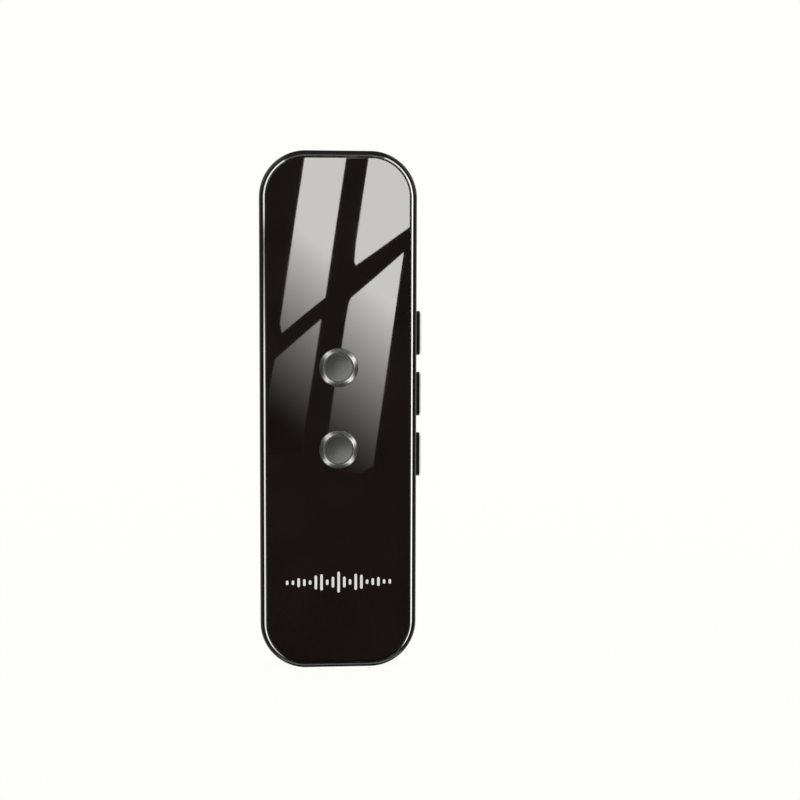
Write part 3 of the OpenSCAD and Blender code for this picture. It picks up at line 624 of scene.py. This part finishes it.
def makeRearCover():
    look = {"edgeRadius": 1.4 * mm, "edgeRest": 0.001 * mm, "facet": 0.2 * mm, "thickness": 1.2 * mm,
            "innerRadius": 0.3 * mm, "lipGap": 0.1 * mm, "lip": 0.9 * mm, "lipTop": -0.9 * mm,
            "lipRadius": 0.1 * mm, "ribRadius": 11.1 * mm, "ribWall": 0.9 * mm, "ribHeight": 1.8 * mm,
            "holeRadius": 0.65 * mm, "holeFlare": 0.05 * mm, "notchMargin": 2.5 * mm,
            "notchRise": 0.02 * mm, "notchFrom": 0.5, "portNotch": 6.5 * mm}
    wall, out, bite = casing["wall"], casing["overrun"], casing["bite"]
    inner = rearLevel + look["thickness"]
    lipOuter = wall + look["lipGap"]
    lipInner = lipOuter + look["lip"]
    lipTop, lipRadius = look["lipTop"], look["lipRadius"]
    edge, facet = look["edgeRadius"], look["facet"]
    corners = [(casing["plateInset"], inner), (lipInner, inner), (lipInner, lipTop), (lipOuter, lipTop),
               (lipOuter, parting), (0, parting), (0, rearLevel + facet), (edge, rearLevel + facet),
               (edge + facet, rearLevel), (casing["plateInset"], rearLevel)]
    radii = [0, look["innerRadius"], lipRadius, lipRadius, 0, casing["seam"],
             edge - look["edgeRest"], 0, 0, 0]
    piece = sweptRound("rearCover", rounded(corners, radii, steps=10))
    # ring that holds the speaker
    near, far = look["ribRadius"], look["ribRadius"] + look["ribWall"]
    foot, top = inner - bite, inner + look["ribHeight"]
    ribCorners = [(near, foot), (far, foot), (far, top), (near, top)]
    rib = turnedPiece("speakerRib", middle("speaker_mesh"), ribCorners, steps=72, closedProfile=True)
    profile = flaredCut(look["holeRadius"], look["holeFlare"], inner + out, rearLevel)
    cuts = [turnedPiece("grilleHole", (x, 0, z), profile, steps=20) for x, z in grilleSpots()]
    # the lip stops beside the side keys and at the charging port
    bracketLow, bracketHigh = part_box("side_key_bracket")
    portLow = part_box("usb_shell")[0]
    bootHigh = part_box("microphone_boot")[1]
    margin, above = look["notchMargin"], parting + look["notchRise"]
    cuts.append(boxBar("sideGap", (look["notchFrom"] * halfWidth, -(frontLevel + out), bracketLow.z - margin),
                       (halfWidth + out, -above, bracketHigh.z + margin)))
    cuts.append(boxBar("endGap", (portLow.x - out, -(frontLevel + out), -out),
                       (bootHigh.x + out, -above, look["portNotch"])))
    carved(piece, [rib], cuts)
    dressed(piece, satinCoverPaint(), cutFacet)
    centres = faceCentres(piece)
    inset = insetOf(centres)
    paintFaces(piece, (inset > edge) & (inset < edge + facet) & (centres[:, 1] > -rearLevel - facet))
    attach(piece, "device")
    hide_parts("rear_cover")


def makeKeyRing(key):
    look = {"colour": (0.93, 0.93, 0.93), "roughness": 0.2, "groove": 0.12 * mm, "tilt": (0.08, 0.12),
            "drop": 0.28 * mm, "lip": 0.06 * mm}
    node = key + "_key_ring"
    low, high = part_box(node)
    outer, bore, soft = (frontKeyMeasure[name] for name in ("ringRadius", "bore", "softness"))
    foot, top = -high.y, -low.y
    # its top is a shallow cone that falls away outwards from a small lip round the bore
    corners = [(bore, foot), (outer, foot), (outer, top - look["drop"]), (bore + look["lip"], top),
               (bore, top - look["lip"])]
    profile = rounded(corners, [0, 0, soft, soft / 2, soft / 2], steps=4)
    piece = turnedPiece(key + "KeyRing", middle(node), profile, frontKeyMeasure["steps"], True)
    dressed(piece, turnedMetal(key + "RingMetal", middle(node), look["colour"], look["roughness"],
                               look["groove"], look["tilt"]))
    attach(piece, "device")
    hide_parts(key + "_key_ring")
    return piece


def makeKeyCap(key):
    look = {"colour": (0.66, 0.66, 0.65), "roughness": 0.3, "groove": 0.1 * mm, "tilt": (0.035, 0.035),
            "bevel": 0.12 * mm, "softness": 0.05 * mm, "dish": 0.25 * mm, "dishSteps": 14}
    node = key + "_key_cap"
    low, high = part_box(node)
    radius = frontKeyMeasure["bore"] - frontKeyMeasure["gap"]
    bevel, soft = look["bevel"], look["softness"]
    foot, top = -high.y, -low.y
    # the dish is a parabola: its depth falls with the square of the distance from the centre
    share = np.linspace(1, 0, look["dishSteps"])
    dishRadius = (radius - 2 * bevel) * share
    dish = np.stack([dishRadius, top - look["dish"] * (1 - share ** 2)], -1)
    corners = [(radius, foot), (radius, top - bevel), (radius - bevel, top), tuple(dish[0])]
    side = rounded(corners, [0, soft, soft, 0], steps=4)
    profile = np.concatenate([[(0, foot)], side, dish[1:]])
    piece = turnedPiece(key + "KeyCap", middle(node), profile, frontKeyMeasure["steps"])
    dressed(piece, turnedMetal(key + "CapMetal", middle(node), look["colour"], look["roughness"],
                               look["groove"], look["tilt"]))
    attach(piece, key + "_key")
    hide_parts(key + "_key_cap")
    return piece


def makeSideKey(key):
    look = {"chamfer": 0.45 * mm, "softness": 0.05 * mm, "faceEdge": 0.01 * mm}
    low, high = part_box(key + "_key")
    centre, size = sideKeyPlan(key)
    margin, chamfer, soft = sideKeyMeasure["flangeMargin"], look["chamfer"], look["softness"]
    shoulder = low.x + sideKeyMeasure["flange"]
    corners = [(margin, low.x), (margin, shoulder), (0, shoulder), (0, high.x - chamfer),
               (-chamfer, high.x), (-2 * chamfer, high.x)]
    profile = rounded(corners, [0, soft, 0, soft, soft, 0], steps=4)
    piece = grownBar(key.replace("_s", "S") + "Key", "zyx", centre, size, profile, steps=20)
    dressed(piece, keyBlack, keyFacet)
    across = faceCentres(piece)[:, 0]
    paintFaces(piece, (across > high.x - chamfer) & (across < high.x - look["faceEdge"]))
    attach(piece, key)
    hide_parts(key + "_key")


frontFrame = makeFrontFrame()
trimRing = makeTrimRing()
frontGlass = makeFrontGlass()
makeRearCover()
print("casing made")
keyRings = [makeKeyRing(keyName) for keyName in frontKeyNames]
keyCaps = [makeKeyCap(keyName) for keyName in frontKeyNames]
for keyName in sideKeyNames:
    makeSideKey(keyName)
print("keys made")


def makePortShell():
    # pressed shell: its profile starts at the cavity's back, rounds the mouth and ends behind
    look = {"wall": 0.3 * mm, "back": 0.6 * mm, "mouth": 0.12 * mm, "colour": (0.55, 0.55, 0.56),
            "roughness": 0.3, "grain": 0.3 * mm, "grainDepth": 0.004 * mm}
    low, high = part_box("usb_shell")
    wall, mouth = look["wall"], look["mouth"]
    corners = [(-wall, high.z - look["back"]), (-wall, low.z), (0, low.z), (0, high.z)]
    profile = rounded(corners, [0, mouth, mouth, 0], steps=4)
    size = (high.x - low.x, high.y - low.y)
    shell = grownBar("portShell", "xyz", middle("usb_shell"), size, profile, steps=20)
    dressed(shell, mouldedFinish("drawnSteel", look["colour"], look["roughness"], look["grain"],
                                 look["grainDepth"], metallic=1.0))
    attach(shell, "device")
    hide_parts("usb_shell")


def makePortTongue():
    # plastic tongue with a row of gilt contacts on both faces
    look = {"chamfer": 0.15 * mm, "softness": 0.1 * mm, "contacts": 12, "pitch": 0.5 * mm,
            "width": 0.26 * mm, "proud": 0.03 * mm, "length": 3.1 * mm, "colour": (0.012, 0.012, 0.012),
            "roughness": 0.4, "grain": 0.3 * mm, "grainDepth": 0.004 * mm, "gilt": (0.85, 0.62, 0.28),
            "giltRoughness": 0.22}
    low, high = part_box("usb_tongue")
    end, width, proud = look["chamfer"], look["width"], look["proud"]
    profile = rounded([(-end, low.z), (0, low.z + end), (0, high.z)], [0, look["softness"], 0], steps=4)
    size = (high.x - low.x, high.y - low.y)
    tongue = grownBar("portTongue", "xyz", middle("usb_tongue"), size, profile, steps=8)
    plastic = mouldedFinish("tonguePlastic", look["colour"], look["roughness"], look["grain"],
                            look["grainDepth"])
    gilt = polishedMetal("giltContact", look["gilt"], look["giltRoughness"])
    start = low.z + 2 * end
    places = (np.arange(look["contacts"]) - (look["contacts"] - 1) / 2) * look["pitch"]
    contacts = [boxBar("contact", (across - width / 2, face - proud, start),
                       (across + width / 2, face + proud, start + look["length"]))
                for face in (low.y, high.y) for across in places]
    plainFaces = len(tongue.data.polygons)
    joined([tongue] + contacts)
    dressed(tongue, plastic, gilt)
    paintFaces(tongue, np.arange(len(tongue.data.polygons)) >= plainFaces)
    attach(tongue, "device")
    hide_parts("usb_tongue")


def makeVoicePrint():
    # row of upright round-ended bars printed on the glass: their heights follow a beating wave,
    # the product of a slow arch and a quicker cosine
    look = {"bars": 19, "width": 29 * mm, "height": 5.8 * mm, "centre": 24 * mm, "bar": 0.72 * mm,
            "shortest": 0.22, "thickness": 0.015 * mm, "sunk": 0.01 * mm, "arch": 0.92, "beats": 2.6,
            "beatDepth": 0.38, "dark": (0.8, 0.8, 0.79), "light": (0.9, 0.9, 0.89), "roughness": 0.45,
            "grain": 0.35 * mm, "grainDepth": 0.004 * mm}
    share = np.linspace(-1, 1, look["bars"])
    arch = np.cos(share * math.pi / 2 * look["arch"])
    beat = 1 - look["beatDepth"] + look["beatDepth"] * np.cos(share * math.pi * 2 * look["beats"])
    tall = np.maximum(arch * beat, look["shortest"]) * look["height"]
    bars = []
    for across, height in zip(share * (look["width"] - look["bar"]) / 2, tall):
        sections = [(-frontLevel + look["sunk"], height, look["bar"]),
                    (-frontLevel - look["thickness"], height, look["bar"])]
        bars.append(slotBar("voicePrint", "zxy", (across, 0, look["centre"]), sections, steps=10))
    piece = joined(bars)
    # screen-printed ink: opaque, slightly thinner in places
    dressed(piece, mottledFinish("whiteInk", look["dark"], look["light"], look["roughness"],
                                 look["grain"], detail=3, depth=look["grainDepth"]))
    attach(piece, "device")


makePortShell()
makePortTongue()
makeVoicePrint()
print("port and print made")


def foilPouch():
    # laminated foil: soft creases over a fine embossed grain
    look = {"dark": (0.42, 0.42, 0.45), "light": (0.62, 0.62, 0.64), "gloss": (0.22, 0.4),
            "metallic": 0.9, "creases": 7 * mm, "stretch": (1, 1, 0.4), "grain": 0.25 * mm,
            "grainShare": 0.15, "depth": 0.25 * mm}
    finish = Finish("foilPouch", look["dark"], look["gloss"][0], look["metallic"])
    crease = finish.noise(look["creases"], detail=5, rough=0.6, scale=look["stretch"])
    grain = finish.noise(look["grain"], detail=2)
    finish.toned(crease, look["dark"], look["light"])
    finish.set("Roughness", finish.spread(grain, *look["gloss"]))
    finish.bumped(crease + grain * look["grainShare"], look["depth"])
    return finish.material


def flexFilm():
    # amber film with copper tracks below it, side by side along the strip
    look = {"film": (0.36, 0.13, 0.03), "copper": (0.62, 0.30, 0.12), "gloss": (0.25, 0.36),
            "patches": 0.8 * mm, "pitch": 0.5 * mm, "rise": 0.01 * mm}
    finish = Finish("flexFilm", look["film"], look["gloss"][0])
    track = finish.sine(finish.part(finish.place(), "Y") * (2 * math.pi / look["pitch"]))
    finish.toned(track, look["film"], look["copper"], fromLow=-0.2, fromHigh=0.2)
    finish.set("Roughness", finish.spread(finish.noise(look["patches"]), *look["gloss"]))
    finish.bumped(track, look["rise"])
    return finish.material


# every node that keeps its CAD shape, under its finish
insideFinishes = [
    (flexFilm(), ["side_key_flex"]),
    (boardMask(), ["main_board"]),
    (foilPouch(), ["battery_cell"]),
    (wovenMesh("speakerCloth", (0.006, 0.006, 0.006), 0.18 * mm), ["speaker_mesh"]),
    # black moulding compound: fine speckle and a mould texture
    (mottledFinish("chipResin", (0.01, 0.01, 0.012), (0.03, 0.03, 0.032), 0.55, 0.08 * mm, 4, 0.01 * mm,
                   (0.45, 0.65)),
     ["processor", "memory_chip", "wireless_chip", "charger_chip", "amplifier_chip"]),
    (mottledFinish("capacitorCeramic", (0.34, 0.22, 0.1), (0.46, 0.32, 0.17), 0.5, 0.4 * mm, 3, 0.01 * mm),
     ["board_capacitors"]),
]
# moulded finishes: name, colour, roughness, grain and its depth in millimetres, metallic, unevenness
for values, names in [
    (("blackFoam", (0.03, 0.03, 0.03), 0.9, 0.12, 0.03), ["glass_tape", "speaker_gasket"]),
    (("carrierResin", (0.02, 0.02, 0.02), 0.5, 0.25, 0.01), ["upper_key_carrier", "lower_key_carrier"]),
    (("padRubber", (0.15, 0.15, 0.15), 0.7, 0.2, 0.01),
     ["upper_key_pad", "lower_key_pad", "top_side_plunger", "middle_side_plunger", "bottom_side_plunger"]),
    (("switchResin", (0.02, 0.02, 0.02), 0.45, 0.3, 0.006),
     ["upper_switch_base", "lower_switch_base", "side_switch_bases"]),
    (("nickelSteel", (0.6, 0.6, 0.59), 0.28, 0.4, 0.004, 1.0, 0.06),
     ["upper_switch_dome", "lower_switch_dome", "top_side_dome", "middle_side_dome", "bottom_side_dome",
      "board_screws", "crystal"]),
    (("stampedSteel", (0.5, 0.5, 0.5), 0.34, 0.5, 0.006, 1.0, 0.08),
     ["side_key_bracket", "shield_can", "microphone"]),
    (("whiteNylon", (0.8, 0.77, 0.7), 0.5, 0.3, 0.006), ["flex_connector", "battery_connector"]),
    (("ferrite", (0.05, 0.05, 0.05), 0.6, 0.25, 0.02), ["power_inductor"]),
    (("antennaCeramic", (0.75, 0.75, 0.74), 0.4, 0.3, 0.006), ["chip_antenna"]),
    (("bootRubber", (0.02, 0.02, 0.02), 0.75, 0.2, 0.012), ["microphone_boot"]),
    (("protectorFilm", (0.6, 0.35, 0.05), 0.3, 0.6, 0.01), ["battery_protector"]),
    (("tapeFoam", (0.8, 0.8, 0.8), 0.85, 0.15, 0.03), ["battery_tape"]),
    (("redSleeve", (0.45, 0.01, 0.01), 0.45, 0.3, 0.006), ["battery_wires"]),
    (("blackSleeve", (0.015, 0.015, 0.015), 0.45, 0.3, 0.006), ["speaker_wires"]),
    (("speakerResin", (0.025, 0.025, 0.025), 0.5, 0.3, 0.01), ["speaker_frame"]),
    (("magnetPlate", (0.4, 0.4, 0.4), 0.35, 0.4, 0.006, 1.0), ["speaker_magnet"]),
    (("conePulp", (0.04, 0.04, 0.042), 0.8, 0.15, 0.02), ["speaker_cone"]),
]:
    name, colour, roughness, grain, depth, *rest = values
    insideFinishes.append((mouldedFinish(name, colour, roughness, grain * mm, depth * mm, *rest), names))
for finish, names in insideFinishes:
    for name in names:
        nodes[name].data.materials.clear()
        nodes[name].data.materials.append(finish)
print("inside dressed")


camera = {
    "place": (-21.5 * mm, -420 * mm, 104.9 * mm),
    "aim": (17.35 * mm, 0, 73.85 * mm),   # right of the device, which stands left of the middle
    "roll": 0.16,                         # degrees
    "lens": 68.5,                         # millimetres, as is the sensor's width
    "sensor": 36,
    "nearest": 10 * mm,                   # the camera shows what lies between these distances
    "furthest": 50,
}


def makeCamera():
    data = bpy.data.cameras.new("camera")
    data.lens = camera["lens"]
    data.sensor_width = camera["sensor"]
    data.clip_start = camera["nearest"]
    data.clip_end = camera["furthest"]
    holder = bpy.data.objects.new("camera", data)
    holder.location = camera["place"]
    look = Vector(camera["aim"]) - Vector(camera["place"])
    roll = Quaternion((0, 0, 1), math.radians(camera["roll"]))
    holder.rotation_euler = (look.to_track_quat("-Z", "Y") @ roll).to_euler()
    bpy.context.scene.collection.objects.link(holder)
    bpy.context.scene.camera = holder


black = (0, 0, 0)
white = (1, 1, 1)
backdropWhite = (1.0, 1.0, 0.966)


def seenDirectly(finish):
    # 1 for camera, glossy and transmission rays, which show the white of the backdrop itself
    kinds = [finish.node("ShaderNodeLightPath", output=kind)
             for kind in ("Is Camera Ray", "Is Glossy Ray", "Is Transmission Ray")]
    return finish.spread(kinds[0] + kinds[1] + kinds[2], 0, 1, fromLow=0, fromHigh=1)


def makeWorld():
    look = {"plain": (0.76, 0.76, 0.76)}
    world = bpy.data.worlds.new("studio")
    bpy.context.scene.world = world
    world.use_nodes = True
    world.cycles.sampling_method = "NONE"
    sky = NodeWork(world.node_tree, "Background")
    sky.set("Color", sky.blended(seenDirectly(sky), look["plain"], backdropWhite))


def shiningFinish(name, strength=1.0, colour=black, roughness=1.0):
    # mirrors nothing: what shows is the light that its emission colour sends out
    finish = Finish(name, colour, roughness)
    finish.set("Specular IOR Level", 0.0)
    finish.set("Emission Strength", strength)
    return finish


def flatSheet(name, points):
    mesh = bpy.data.meshes.new(name)
    mesh.from_pydata(np.asarray(points).tolist(), [], [list(range(len(points)))])
    sheet = bpy.data.objects.new(name, mesh)
    bpy.context.scene.collection.objects.link(sheet)
    return sheet


def makeFloor():
    # pale floor: near the device part of its white is lit, so that a faint shadow stays, and
    # further away all of it shines like the backdrop
    look = {"reach": 6.0, "roughness": 0.9, "shine": 0.95, "fadeFrom": 0.12, "fadeTo": 0.6}
    reach = look["reach"]
    floor = flatSheet("floor", [(-reach, -reach, 0), (reach, -reach, 0), (reach, reach, 0),
                                (-reach, reach, 0)])
    finish = shiningFinish("paleFloor", 1.0, backdropWhite, look["roughness"])
    away = finish.vector("LENGTH", finish.place(), output="Value")
    shine = finish.spread(away, look["shine"], 1, look["fadeFrom"], look["fadeTo"]) * seenDirectly(finish)
    finish.set("Base Color", finish.blended(1 - shine, black, backdropWhite))
    finish.set("Emission Color", finish.blended(shine, black, backdropWhite))
    floor.data.materials.append(finish.material)


def reflectorSheet(name, points, finish):
    # a sheet that shows only in reflections: it neither shades nor lights the device
    sheet = flatSheet(name, points)
    sheet.visible_camera = False
    sheet.visible_diffuse = False
    sheet.visible_transmission = False
    sheet.visible_shadow = False
    finish.material.cycles.emission_sampling = "NONE"
    sheet.data.materials.append(finish.material)
    return sheet


def litBy(source, pieces):
    # the source's light reaches these pieces alone; a linked sheet is black for all others
    receivers = bpy.data.collections.new(source.name + "Receivers")
    for piece in pieces:
        receivers.objects.link(piece)
    source.light_linking.receiver_collection = receivers


def makeFlags():
    # black flags for the glass and the rim: a wall behind the camera that bends round to the
    # sides, a floor in front, and two slopes over the top end. The gaps between them leave the
    # bright lines in the trim. The glow is a grey that comes in with the height. In metres
    look = {
        "glow": 0.035, "highGlow": 0.12, "glowFrom": 0.15, "glowTo": 0.4,
        "flagBehind": [(0.5, -0.45, -0.02), (0.5, -0.45, 0.2), (0.36, -0.45, 0.62), (-0.17, -0.45, 0.62),
                       (-0.45, -0.45, 0.34), (-0.45, -0.45, -0.02)],
        "flagOver": [(-0.1, -0.03, 0.3), (0.08, -0.03, 0.3), (0.36, -0.45, 0.62), (-0.17, -0.45, 0.62)],
        "flagOverBack": [(-0.1, -0.03, 0.3), (0.08, -0.03, 0.3), (0.1, 0.25, 0.4), (-0.12, 0.25, 0.4)],
        "flagLeft": [(-0.45, -0.45, -0.02), (-0.45, -0.072, -0.02), (-0.45, -0.072, 0.2),
                     (-0.45, -0.45, 0.34)],
        "flagRight": [(0.5, -0.45, -0.02), (0.5, -0.08, -0.02), (0.5, -0.08, 0.2), (0.5, -0.45, 0.2)],
        "flagFloor": [(-0.45, -0.072, 0.0001), (-0.022, -0.0072, 0.0001), (0.029, -0.0072, 0.0001),
                      (0.5, -0.08, 0.0001), (0.5, -0.47, 0.0001), (-0.45, -0.47, 0.0001)],
    }
    finish = shiningFinish("blackFlag")
    height = finish.part(finish.place(), "Z")
    glow = finish.spread(height, look["glow"], look["highGlow"], look["glowFrom"], look["glowTo"])
    finish.set("Emission Color", finish.blended(glow, black, white))
    for name, points in look.items():
        if name.startswith("flag"):
            reflectorSheet(name, points, finish)


def makeFootShade():
    # the device's own shade below it, for the gloss of its lower edge. It fades beside the two
    # corners, so that the trim's bright line runs out there. In millimetres
    look = {"darkest": (0.004, 0.004, 0.004), "left": (-24.6, -15.7), "right": (22.5, 27.5),
            "front": -5.45, "back": -3, "height": 0.05}
    finish = shiningFinish("footShade")
    across = finish.part(finish.place((1 / mm, 1, 1)), "X")
    lit = finish.spread(across, 1, 0, *look["left"]) + finish.spread(across, 0, 1, *look["right"])
    finish.set("Emission Color", finish.blended(lit, look["darkest"], backdropWhite))
    left, right, front, back = look["left"][0], look["right"][1], look["front"], look["back"]
    corners = np.array([(left, front), (right, front), (right, back), (left, back)]) * mm
    reflectorSheet("footShade", np.insert(corners, 2, look["height"] * mm, axis=1), finish)


def makeFootGlow():
    # bright strip of floor ahead of the shade: it shows as one grey line in the frame's rim and
    # is black for the trim and the glass above the rim. In millimetres
    look = {"plan": [(-17, -5.4), (20, -5.4), (22, -12), (9.5, -9.2), (-9.5, -9.2), (-19, -12)],
            "height": 0.12, "strength": 2.1, "clouds": 5, "dimmest": (0.95, 0.95, 0.95)}
    finish = shiningFinish("footGlow", look["strength"])
    cloud = finish.spread(finish.noise(look["clouds"] * mm), 0, 1)
    finish.set("Emission Color", finish.blended(cloud, look["dimmest"], white))
    points = np.insert(np.array(look["plan"]) * mm, 2, look["height"] * mm, axis=1)
    litBy(reflectorSheet("footGlow", points, finish), [frontFrame])


def areaLamp(name, place, turned, watts):
    data = bpy.data.lights.new(name, "AREA")
    data.energy = watts
    lamp = bpy.data.objects.new(name, data)
    lamp.location = place
    lamp.rotation_euler = turned.to_euler()
    bpy.context.scene.collection.objects.link(lamp)
    return lamp


def pieceLamp(name, piece, place, turned, size, level):
    # rectangular light that shows in the reflections of one piece alone, at a level where 1 is
    # white; everything behind it still shows through
    wattsAtWhite = 4   # for a square metre of lamp
    lamp = areaLamp(name, place, turned, wattsAtWhite * level * size[0] * size[1])
    lamp.data.shape = "RECTANGLE"
    lamp.data.size, lamp.data.size_y = size
    lamp.visible_camera = False
    lamp.visible_diffuse = False
    lamp.visible_transmission = False
    litBy(lamp, [piece])


def makeKeyLights():
    # each ring has four lights close in front of it, on the diagonals, and each cap has a wide one
    # near the camera that fills one half of its view. Directions go round the key in degrees,
    # and distances start where the view from the camera, thrown back by the key, passes
    look = {"ahead": 50 * mm, "near": 8 * mm, "far": 52 * mm, "breadth": 13 * mm,
            "patches": [(27, 0.92), (129, 0.62), (228, 0.75), (315, 0.95)],   # direction and level
            "capAhead": 430 * mm, "capAngle": 141, "capSize": 0.4, "capLevel": 0.25}
    near, far, capSize = look["near"], look["far"], look["capSize"]
    facingKey = Quaternion((1, 0, 0), math.pi / 2)
    for key, ring, cap in zip(frontKeyNames, keyRings, keyCaps):
        centre = middle(key + "_key_ring")
        centre.y = -frontLevel
        thrown = centre - Vector(camera["place"])
        thrown = Vector((thrown.x / thrown.y, -1, thrown.z / thrown.y))
        lights = [(key + "RingLight", ring, look["ahead"], angle, (near + far) / 2,
                   (far - near, look["breadth"]), level) for angle, level in look["patches"]]
        lights.append((key + "CapLight", cap, look["capAhead"], look["capAngle"], capSize / 2,
                       (capSize, capSize), look["capLevel"]))
        for name, piece, ahead, angle, reach, size, level in lights:
            turn = math.radians(angle)
            away = Vector((math.cos(turn), 0, math.sin(turn))) * reach
            pieceLamp(name, piece, centre + thrown * ahead + away,
                      facingKey @ Quaternion((0, 0, 1), turn), size, level)


def makeTrimLight():
    # tall light close on the right, which brightens the trim's right line
    look = {"place": (60 * mm, -1.5 * mm, 80 * mm), "size": (160 * mm, 30 * mm), "level": 0.28}
    facingLeft = Quaternion((0, 1, 0), math.pi / 2)
    pieceLamp("trimLight", trimRing, look["place"], facingLeft, look["size"], look["level"])


def makeDimSlit():
    # dulls the upper part of the trim's left line: dark at the top edge, brighter downwards
    look = {"x": -0.46, "depth": 0.1, "low": 0.07, "high": 0.14, "darkest": (0.14, 0.14, 0.14), "fade": 1.5}
    x, depth, low, high = look["x"], look["depth"], look["low"], look["high"]
    finish = shiningFinish("dimSlit")
    share = finish.spread(finish.part(finish.place(), "Z"), 1, 0, low, high)
    finish.set("Emission Color", finish.blended(share ** look["fade"], look["darkest"], backdropWhite))
    corners = [(x, -depth, low), (x, depth, low), (x, depth, high), (x, -depth, high)]
    reflectorSheet("dimSlit", corners, finish)


def makeWindow():
    # window whose panes show in the glass alone. Their corners are given in millimetres on the
    # glass, across and up; the line from the camera's mirror image through each corner meets the
    # sheet behind the camera at the place where the pane hangs
    look = {
        "behind": -0.448, "strength": 14.2, "colour": (1.0, 0.985, 0.95), "slope": (0.815, 1),
        "fadeFrom": 52, "fadeTo": 112, "fade": 2,
        "panes": [
            [(0, 200), (11, 200), (-3.6, 102.3), (-15.6, 92.6), (-16.1, 95.2)],
            [(16.9, 200), (40, 200), (40, 135.7), (4.7, 111.0), (4.3, 112.0), (4.7, 116.8)],
            [(-4.7, 96.4), (-9.3, 66.4), (-10.2, 60.0), (-21.9, 58.9), (-20.5, 67.4), (-18.6, 80.4),
             (-17.5, 85.5)],
            [(18.0, 114.6), (15.3, 96.1), (9.5, 56.1), (5.2, 53.7), (-4.5, 54.9), (-3.9, 57.7),
             (-2.7, 66.4), (-1.1, 77.7), (0.8, 88.6), (1.9, 96.0), (2.8, 100.9), (3.5, 102.3),
             (4.7, 103.3)],
        ],
    }
    mirrored = np.array(camera["place"])
    mirrored[1] = -2 * frontLevel - mirrored[1]
    scale = (look["behind"] - mirrored[1]) / (-frontLevel - mirrored[1])
    finish = shiningFinish("windowPane", look["strength"])
    # back from the sheet to the glass, then along the slope: none at its foot, full light above
    here = finish.place((1 / scale / mm,) * 3, tuple(mirrored * (1 - scale)))
    along = finish.part(here, "X") * look["slope"][0] + finish.part(here, "Z") * look["slope"][1]
    share = finish.spread(along, 0, 1, look["fadeFrom"], look["fadeTo"])
    finish.set("Emission Color", finish.blended(share ** look["fade"], black, look["colour"]))
    for corners in look["panes"]:
        glassPoints = np.insert(np.array(corners) * mm, 1, -frontLevel, axis=1)
        points = mirrored + (glassPoints - mirrored) * scale
        litBy(reflectorSheet("windowPane", points, finish), [frontGlass])


def makeLamps():
    # two wide soft lamps that light colours but leave no shape of their own in the gloss:
    # place, size and watts
    look = {"lamps": [((-0.7, -0.9, 0.9), 0.7, 3.2), ((0.8, 0.9, 0.8), 0.7, 3.0)]}
    target = Vector((0, 0, bodyLength / 2))
    for place, size, watts in look["lamps"]:
        lamp = areaLamp("softLamp", place, (target - Vector(place)).to_track_quat("-Z", "Y"), watts)
        lamp.data.size = size
        lamp.visible_glossy = False


bpy.context.scene.view_settings.view_transform = "Standard"
makeCamera()
makeWorld()
makeFloor()
makeFlags()
makeFootShade()
makeFootGlow()
makeKeyLights()
makeTrimLight()
makeDimSlit()
makeWindow()
makeLamps()
print("studio made")
